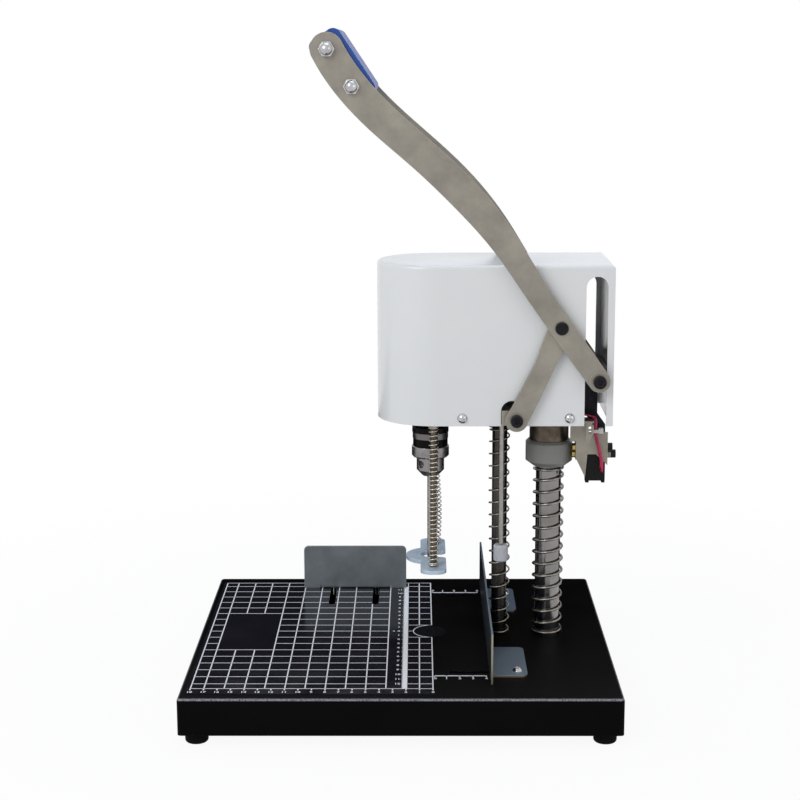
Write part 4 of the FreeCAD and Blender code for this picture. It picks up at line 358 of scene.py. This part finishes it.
# which finish each construction node wears
worn = {
    "powderCoat": ["base_tray", "column_plate"],
    "mouldedRubber": ["feet"],
    "glossFilm": ["scale_film"],
    "blackNylon": ["cutting_pad", "guide_bush"],
    "machinedSteel": ["pad_cup", "column_nuts", "spindle_shaft", "drill_bit", "paper_stop_nuts",
                      "chuck_jaw_1", "chuck_jaw_2", "chuck_jaw_3", "stop_rod"],
    "groundShaft": ["thick_column"],
    "darkShaft": ["thin_column"],
    "springWire": ["presser_spring_front", "presser_spring_rear"],
    "temperedWire": ["main_spring", "guide_spring"],
    "zincPlatedStrip": ["lever_plate_front", "lever_plate_rear", "link_front", "link_rear", "head_plate",
                        "switch_bracket", "fulcrum_washers", "microswitch_spacer"],
    "zincPlatedSheet": ["back_fence"],
    "paleZinc": ["presser_foot"],
    "darkStopSheet": ["paper_stop"],
    "turnedDarkSteel": ["bearing_housing", "motor_can", "presser_rods"],
    "chuckSteel": ["chuck_body"],
    "ringSteel": ["chuck_ring"],
    "blackOxide": ["fulcrum_bolts", "fulcrum_bracket", "trip_arm", "link_bolts", "lever_pins", "rod_clips",
                   "microswitch_screws"],
    "chromePlate": ["grip_nuts", "cover_screws", "paper_stop_screws", "back_fence_screws"],
    "brassHardware": ["presser_bushes", "microswitch_nuts"],
    "glossEnamel": ["cover"],
    "greyNylon": ["spring_collar"],
    "milkyNylon": ["stop_cap"],
    "clearNylon": ["cable_tie"],
    "blackMoulding": ["motor_end_cap", "microswitch", "switch_plunger", "cable_gland"],
    "leadInsulation": ["switch_leads"],
    "blueVinyl": ["lever_grip"],
}
for finish, names in worn.items():
    for name in names:
        for holder in nodes[name].material_slots:
            holder.material = finishes[finish]
print("dressed the nodes")


def settle(piece, finish, body, *stoodFor):
    # places are baked into the mesh, and the piece takes its finish and its body
    bpy.ops.object.select_all(action="DESELECT")
    piece.select_set(True)
    bpy.context.view_layer.objects.active = piece
    bpy.ops.object.transform_apply(location=True, rotation=True, scale=True)
    piece.data.materials.clear()
    piece.data.materials.append(finishes[finish])
    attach(piece, body)
    if stoodFor:
        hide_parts(*stoodFor)
    piece.select_set(False)


# compression springs: closed turns at both ends, open turns between; sway bows a slack spring sideways
springs = {
    "mainSpring": {"node": "main_spring", "finish": "temperedWire", "wire": 2 * mm, "pitch": 9.8 * mm,
                   "closed": 0.7, "sway": 0, "body": "stand", "joint": "head_slide", "travel": 62 * mm,
                   "held": "foot"},
    "guideSpring": {"node": "guide_spring", "finish": "temperedWire", "wire": 1.4 * mm, "pitch": 9.6 * mm,
                    "closed": 0.7, "sway": 0.4 * mm, "body": "stand", "joint": "head_slide",
                    "travel": 62 * mm, "held": "foot"},
    "presserSpringFront": {"node": "presser_spring_front", "finish": "springWire", "wire": 1.1 * mm,
                           "pitch": 3.55 * mm, "closed": 1.5, "sway": 0, "body": "head",
                           "joint": "presser_slide", "travel": 55 * mm, "held": "top"},
    "presserSpringRear": {"node": "presser_spring_rear", "finish": "springWire", "wire": 1.1 * mm,
                          "pitch": 3.55 * mm, "closed": 1.5, "sway": 1.3 * mm, "body": "head",
                          "joint": "presser_slide", "travel": 55 * mm, "held": "top"},
}
# closed turns lie this share of the wire apart, and a turn opens over this share of a round
coil = {"perTurn": 28, "closedRise": 1.03, "opensOver": 0.4, "sides": 2}


def windSpring(name):
    # a swept wire as high and wide as the solid that it stands for
    spring = springs[name]
    low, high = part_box(spring["node"])
    wire = spring["wire"]
    radius = (high.x - low.x - wire) / 2
    middle = (low + high) / 2
    rise = high.z - low.z - wire
    openTurns = round((rise - 2 * spring["closed"] * wire) / spring["pitch"])
    turns = openTurns + 2 * spring["closed"]
    perTurn = coil["perTurn"]
    steps = int(turns * perTurn)
    climbs = []
    for i in range(steps):
        fromEnd = min(i, steps - i) / perTurn - spring["closed"]
        opening = min(max(fromEnd / coil["opensOver"], 0), 1)
        eased = opening * opening * (3 - 2 * opening)
        climbs.append(wire * coil["closedRise"] + (spring["pitch"] - wire) * eased)
    scale = rise / sum(climbs)
    points = []
    z = low.z + wire / 2
    for i in range(steps + 1):
        angle = 2 * math.pi * i / perTurn
        lean = spring["sway"] * math.sin(2 * math.pi * i / steps)
        points.append((middle.x + lean + radius * math.cos(angle), middle.y + radius * math.sin(angle), z))
        if i < steps:
            z += climbs[i] * scale
    curve = bpy.data.curves.new(name, "CURVE")
    curve.dimensions = "3D"
    curve.bevel_depth = wire / 2
    curve.bevel_resolution = coil["sides"]
    curve.use_fill_caps = True
    line = curve.splines.new("POLY")
    line.points.add(len(points) - 1)
    for point, place in zip(line.points, points):
        point.co = (*place, 1)
    piece = bpy.data.objects.new(name, curve)
    bpy.context.scene.collection.objects.link(piece)
    piece.select_set(True)
    bpy.context.view_layer.objects.active = piece
    bpy.ops.object.convert(target="MESH")
    bpy.ops.object.shade_smooth()
    piece = bpy.context.view_layer.objects.active
    settle(piece, spring["finish"], spring["body"], spring["node"])
    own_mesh(piece)


for name in springs:
    windSpring(name)
print("wound the springs")

# printing on the film and on the tray, all in millimetres from the drill axis
grid = {"columns": (1, -9, -18.6, -34, -49, -64, -79, -94, -109, -124, -139, -154, -169, -179), "rowStep": 15,
        "rows": 8, "half": 130, "right": 1, "line": 0.85, "bare": (-169, -124, 45), "ruler": (-34, -18.6),
        "slots": (-83.8, -46.6), "slotHalf": 2.9, "slotFront": 70.5}
notch = {"radius": 14.9, "inner": 14.5, "outer": 15.3, "steps": 32}
ruler = {"bar": (-21.8, -18.6), "back": 119, "tick": 23.3, "shortTick": 22.5, "tickHalf": 0.2,
         "longEvery": 10, "numberX": -25.7, "numbers": range(-12, 12), "dotX": -29.7, "dot": 0.9,
         "dotSides": 20}
frontScale = {"first": 1, "step": 10, "count": 19, "tickEnd": -133.4, "tickHalf": 0.5, "numberY": -137.1}
trayScale = {"from": 1.8, "to": 41.4, "front": -101.4, "rear": 102.4, "band": 1.7, "first": 1.4, "step": 10,
             "count": 5, "tick": 4.2, "tickHalf": 0.45, "endTick": 2.4, "number": 6.6, "endNumber": 3}
printHeight = {"film": 38.02, "overFilm": 38.025, "tray": 37.72}
figures = {"size": 4.4, "bold": 0.1, "curveSteps": 2}


def rectangle(shape, x0, x1, y0, y1, z):
    corners = [shape.verts.new((x * mm, y * mm, z * mm)) for x, y in ((x0, y0), (x1, y0), (x1, y1), (x0, y1))]
    shape.faces.new(corners)


def printRow(shape, spans, y):
    # a line along X, broken where the slots of the fence run through the film
    reach, line = grid["slotHalf"], grid["line"] / 2
    for slot in grid["slots"] if y > grid["slotFront"] else ():
        pieces = []
        for x0, x1 in spans:
            crossed = x0 < slot < x1
            pieces += [(x0, slot - reach), (slot + reach, x1)] if crossed else [(x0, x1)]
        spans = pieces
    for x0, x1 in spans:
        rectangle(shape, x0, x1, y - line, y + line, printHeight["film"])


def printGrid(shape):
    z = printHeight["film"]
    half, line = grid["half"], grid["line"] / 2
    left, right, bare = grid["bare"]
    last = grid["columns"][-1]
    for x in grid["columns"]:
        gap = bare if left < x < right else notch["radius"] if x > -notch["radius"] else 0
        if gap:
            rectangle(shape, x - line, x + line, -half, -gap, z)
            rectangle(shape, x - line, x + line, gap, half, z)
        else:
            slotted = any(abs(x - slot) < grid["slotHalf"] for slot in grid["slots"])
            rectangle(shape, x - line, x + line, -half, grid["slotFront"] if slotted else half, z)
    rectangle(shape, last, grid["right"], -half - line, -half + line, z)
    for row in range(-grid["rows"], grid["rows"] + 1):
        y = row * grid["rowStep"]
        spans = [(last, left), (right, grid["ruler"][0])] if abs(y) < bare else [(last, grid["ruler"][0])]
        spans.append((grid["ruler"][1], -notch["radius"] if row == 0 else grid["right"]))
        printRow(shape, spans, y)
    printRow(shape, [(last, grid["right"])], half)


def printNotch(shape):
    # the half ring round the drilling pad
    z = printHeight["film"]
    ring = []
    for i in range(notch["steps"] + 1):
        angle = math.pi / 2 + math.pi * i / notch["steps"]
        across, along = math.cos(angle), math.sin(angle)
        ring.append([shape.verts.new(((grid["right"] + r * across) * mm, r * along * mm, z * mm))
                     for r in (notch["inner"], notch["outer"])])
    for a, b in zip(ring, ring[1:]):
        shape.faces.new((a[0], a[1], b[1], b[0]))


def printRuler(shape):
    # a bar with a tick for each millimetre, and the dot that marks the middle
    z = printHeight["overFilm"]
    left, right = ruler["bar"]
    rectangle(shape, left, right, -grid["half"], ruler["back"], z)
    for y in range(1 - grid["half"], ruler["back"] + 1):
        end = ruler["shortTick"] if y % ruler["longEvery"] else ruler["tick"]
        rectangle(shape, -end, left, y - ruler["tickHalf"], y + ruler["tickHalf"], z)
    dot = []
    for i in range(ruler["dotSides"]):
        angle = 2 * math.pi * i / ruler["dotSides"]
        x, y = ruler["dotX"] + ruler["dot"] * math.cos(angle), ruler["dot"] * math.sin(angle)
        dot.append(shape.verts.new((x * mm, y * mm, z * mm)))
    shape.faces.new(dot)


def printTrayScale(shape, side):
    # a band with ticks in front of the drilling pad (side -1) and behind it (side 1)
    z = printHeight["tray"]
    start = trayScale["front"] if side < 0 else trayScale["rear"]
    y0, y1 = sorted((start, start + side * trayScale["band"]))
    rectangle(shape, trayScale["from"], trayScale["to"], y0, y1, z)
    for i in range(trayScale["count"]):
        x = trayScale["first"] + trayScale["step"] * i if i else trayScale["endTick"]
        y0, y1 = sorted((start, start + side * trayScale["tick"]))
        rectangle(shape, x - trayScale["tickHalf"], x + trayScale["tickHalf"], y0, y1, z)


def number(value, x, y, z):
    # a printed number, centred on its place
    bpy.ops.object.text_add(location=(x * mm, y * mm, z * mm))
    text = bpy.context.object
    text.data.body = str(value)
    text.data.size = figures["size"] * mm
    text.data.offset = figures["bold"] * mm
    text.data.align_x = "CENTER"
    text.data.align_y = "CENTER"
    text.data.resolution_u = figures["curveSteps"]
    bpy.ops.object.convert(target="MESH")
    return bpy.context.object


def printing():
    shape = bmesh.new()
    printGrid(shape)
    printNotch(shape)
    printRuler(shape)
    places = [frontScale["first"] - frontScale["step"] * i for i in range(frontScale["count"])]
    half = frontScale["tickHalf"]
    for x in places:
        rectangle(shape, x - half, x + half, frontScale["tickEnd"], -grid["half"], printHeight["film"])
    for side in (-1, 1):
        printTrayScale(shape, side)
    mesh = bpy.data.meshes.new("scalePrint")
    shape.to_mesh(mesh)
    shape.free()
    piece = bpy.data.objects.new("scalePrint", mesh)
    bpy.context.scene.collection.objects.link(piece)
    words = [number(i, x, frontScale["numberY"], printHeight["film"]) for i, x in enumerate(places)]
    words += [number(abs(i), ruler["numberX"], ruler["longEvery"] * i, printHeight["film"])
              for i in ruler["numbers"]]
    for side, start in ((-1, trayScale["front"]), (1, trayScale["rear"])):
        y = start + side * trayScale["number"]
        for i in range(trayScale["count"]):
            x = trayScale["first"] + trayScale["step"] * i if i else trayScale["endNumber"]
            words.append(number(i, x, y, printHeight["tray"]))
    bpy.ops.object.select_all(action="DESELECT")
    for word in words:
        word.select_set(True)
    piece.select_set(True)
    bpy.context.view_layer.objects.active = piece
    bpy.ops.object.join()
    settle(piece, "screenInk", "stand")


printing()
print("printed the scales")

# stage: pale floor, soft boxes and the camera
stage = {"floor": "#f4f4f4", "ambient": 0.4, "floorGlow": 0.93, "near": 0.3, "far": 0.7, "size": 60,
         "underMiddle": (-0.023, -0.002), "underHalf": (0.15, 0.118), "aim": (0, 0, 0.2)}
softBoxes = {
    "key": {"place": (-1.2, -1.4, 1.5), "size": 1.3, "power": 19, "tint": "#fdfeff"},
    "fill": {"place": (1.8, -1.4, 0.9), "size": 1.2, "power": 4, "tint": "#fffdfb"},
    "top": {"place": (0.1, 0.5, 2.2), "size": 1.4, "power": 12, "tint": "#d3e5ff"},
}
# a black card behind the tray that only reflections see: it keeps the flat black surfaces black
backCard = {"place": (0, 0.18, 0.09), "turn": (90, 0, 0), "size": (1.6, 0.18), "tone": "#050505"}
view = {"place": (-0.00956, -1.33996, 0.49876), "turn": 0.621, "down": 11.341, "roll": -0.213, "lens": 77.58,
        "sensor": 36, "nearest": 0.05}


def makeStage():
    bpy.ops.mesh.primitive_plane_add(size=stage["size"], location=(0, 0, 0))
    floor = bpy.context.object
    floor.name = "floor"
    material = bpy.data.materials.new("paleFloor")
    material.use_nodes = True
    tree = material.node_tree
    tree.nodes.remove(tree.nodes["Principled BSDF"])
    matt = addNode(tree, "ShaderNodeBsdfDiffuse", {"Color": linear(stage["floor"])})
    white = addNode(tree, "ShaderNodeEmission", {"Color": (1, 1, 1, 1), "Strength": 1})
    place = addNode(tree, "ShaderNodeTexCoord", {}).outputs["Object"]
    away = addNode(tree, "ShaderNodeVectorMath", {0: place}, operation="LENGTH")
    glow = addNode(tree, "ShaderNodeMapRange", {"Value": away.outputs["Value"], "From Min": stage["near"],
                                                "From Max": stage["far"], "To Min": stage["floorGlow"]})
    path = addNode(tree, "ShaderNodeLightPath", {})
    seen = addNode(tree, "ShaderNodeMath",
                   {0: path.outputs["Is Camera Ray"], 1: path.outputs["Is Glossy Ray"]}, operation="MAXIMUM")
    share = addNode(tree, "ShaderNodeMath", {0: seen.outputs["Value"], 1: glow.outputs["Result"]},
                    operation="MULTIPLY")
    # it stays dark under the tray, where the slots look down on it
    fromMiddle = addNode(tree, "ShaderNodeVectorMath", {0: place, 1: (*stage["underMiddle"], 0)},
                         operation="SUBTRACT")
    apart = addNode(tree, "ShaderNodeVectorMath", {0: fromMiddle.outputs["Vector"]}, operation="ABSOLUTE")
    axes = addNode(tree, "ShaderNodeSeparateXYZ", {"Vector": apart.outputs["Vector"]})
    outside = [addNode(tree, "ShaderNodeMath", {0: axes.outputs[axis], 1: half}, operation="GREATER_THAN")
               for axis, half in zip("XY", stage["underHalf"])]
    clear = addNode(tree, "ShaderNodeMath", {0: outside[0].outputs["Value"], 1: outside[1].outputs["Value"]},
                    operation="MAXIMUM")
    share = addNode(tree, "ShaderNodeMath", {0: share.outputs["Value"], 1: clear.outputs["Value"]},
                    operation="MULTIPLY")
    mixed = addNode(tree, "ShaderNodeMixShader", {0: share.outputs["Value"], 1: matt.outputs["BSDF"],
                                                  2: white.outputs["Emission"]})
    tree.links.new(mixed.outputs["Shader"], tree.nodes["Material Output"].inputs["Surface"])
    floor.data.materials.append(material)


def makeWorld():
    world = bpy.data.worlds.new("studio")
    world.use_nodes = True
    bpy.context.scene.world = world
    tree = world.node_tree
    # white where it is seen or mirrored, and weaker where it only lights the object
    path = addNode(tree, "ShaderNodeLightPath", {})
    seen = addNode(tree, "ShaderNodeMath",
                   {0: path.outputs["Is Camera Ray"], 1: path.outputs["Is Glossy Ray"]}, operation="MAXIMUM")
    seen = addNode(tree, "ShaderNodeMath",
                   {0: seen.outputs["Value"], 1: path.outputs["Is Transmission Ray"]}, operation="MAXIMUM")
    strength = addNode(tree, "ShaderNodeMapRange",
                       {"Value": seen.outputs["Value"], "To Min": stage["ambient"], "To Max": 1})
    tree.links.new(strength.outputs["Result"], tree.nodes["Background"].inputs["Strength"])
    tree.nodes["Background"].inputs["Color"].default_value = (1, 1, 1, 1)


def makeLights():
    for name, box in softBoxes.items():
        bpy.ops.object.light_add(type="AREA", location=box["place"])
        lamp = bpy.context.object
        lamp.name = name
        lamp.data.size = box["size"]
        lamp.data.energy = box["power"]
        lamp.data.color = linear(box["tint"])[:3]
        aim = Vector(stage["aim"]) - Vector(box["place"])
        lamp.rotation_euler = aim.to_track_quat("-Z", "Y").to_euler()


def makeCard():
    turn = [math.radians(angle) for angle in backCard["turn"]]
    bpy.ops.mesh.primitive_plane_add(size=1, location=backCard["place"], rotation=turn)
    sheet = bpy.context.object
    sheet.name = "backCard"
    sheet.scale = (*backCard["size"], 1)
    material = bpy.data.materials.new("blackCard")
    material.use_nodes = True
    shader = material.node_tree.nodes["Principled BSDF"]
    shader.inputs["Base Color"].default_value = linear(backCard["tone"])
    shader.inputs["Specular IOR Level"].default_value = 0
    sheet.data.materials.append(material)
    sheet.visible_camera = False
    sheet.visible_diffuse = False
    sheet.visible_shadow = False
    sheet.visible_transmission = False


def makeCamera():
    bpy.ops.object.camera_add(location=view["place"])
    camera = bpy.context.object
    turn = Matrix.Rotation(math.radians(view["turn"]), 4, "Z")
    tilt = Matrix.Rotation(math.radians(90 - view["down"]), 4, "X")
    roll = Matrix.Rotation(math.radians(view["roll"]), 4, "Z")
    camera.matrix_world = Matrix.Translation(view["place"]) @ turn @ tilt @ roll
    camera.data.lens = view["lens"]
    camera.data.sensor_width = view["sensor"]
    camera.data.clip_start = view["nearest"]
    bpy.context.scene.camera = camera


makeStage()
makeWorld()
makeLights()
makeCard()
makeCamera()
bpy.context.scene.view_settings.view_transform = "Standard"
print("set the stage")
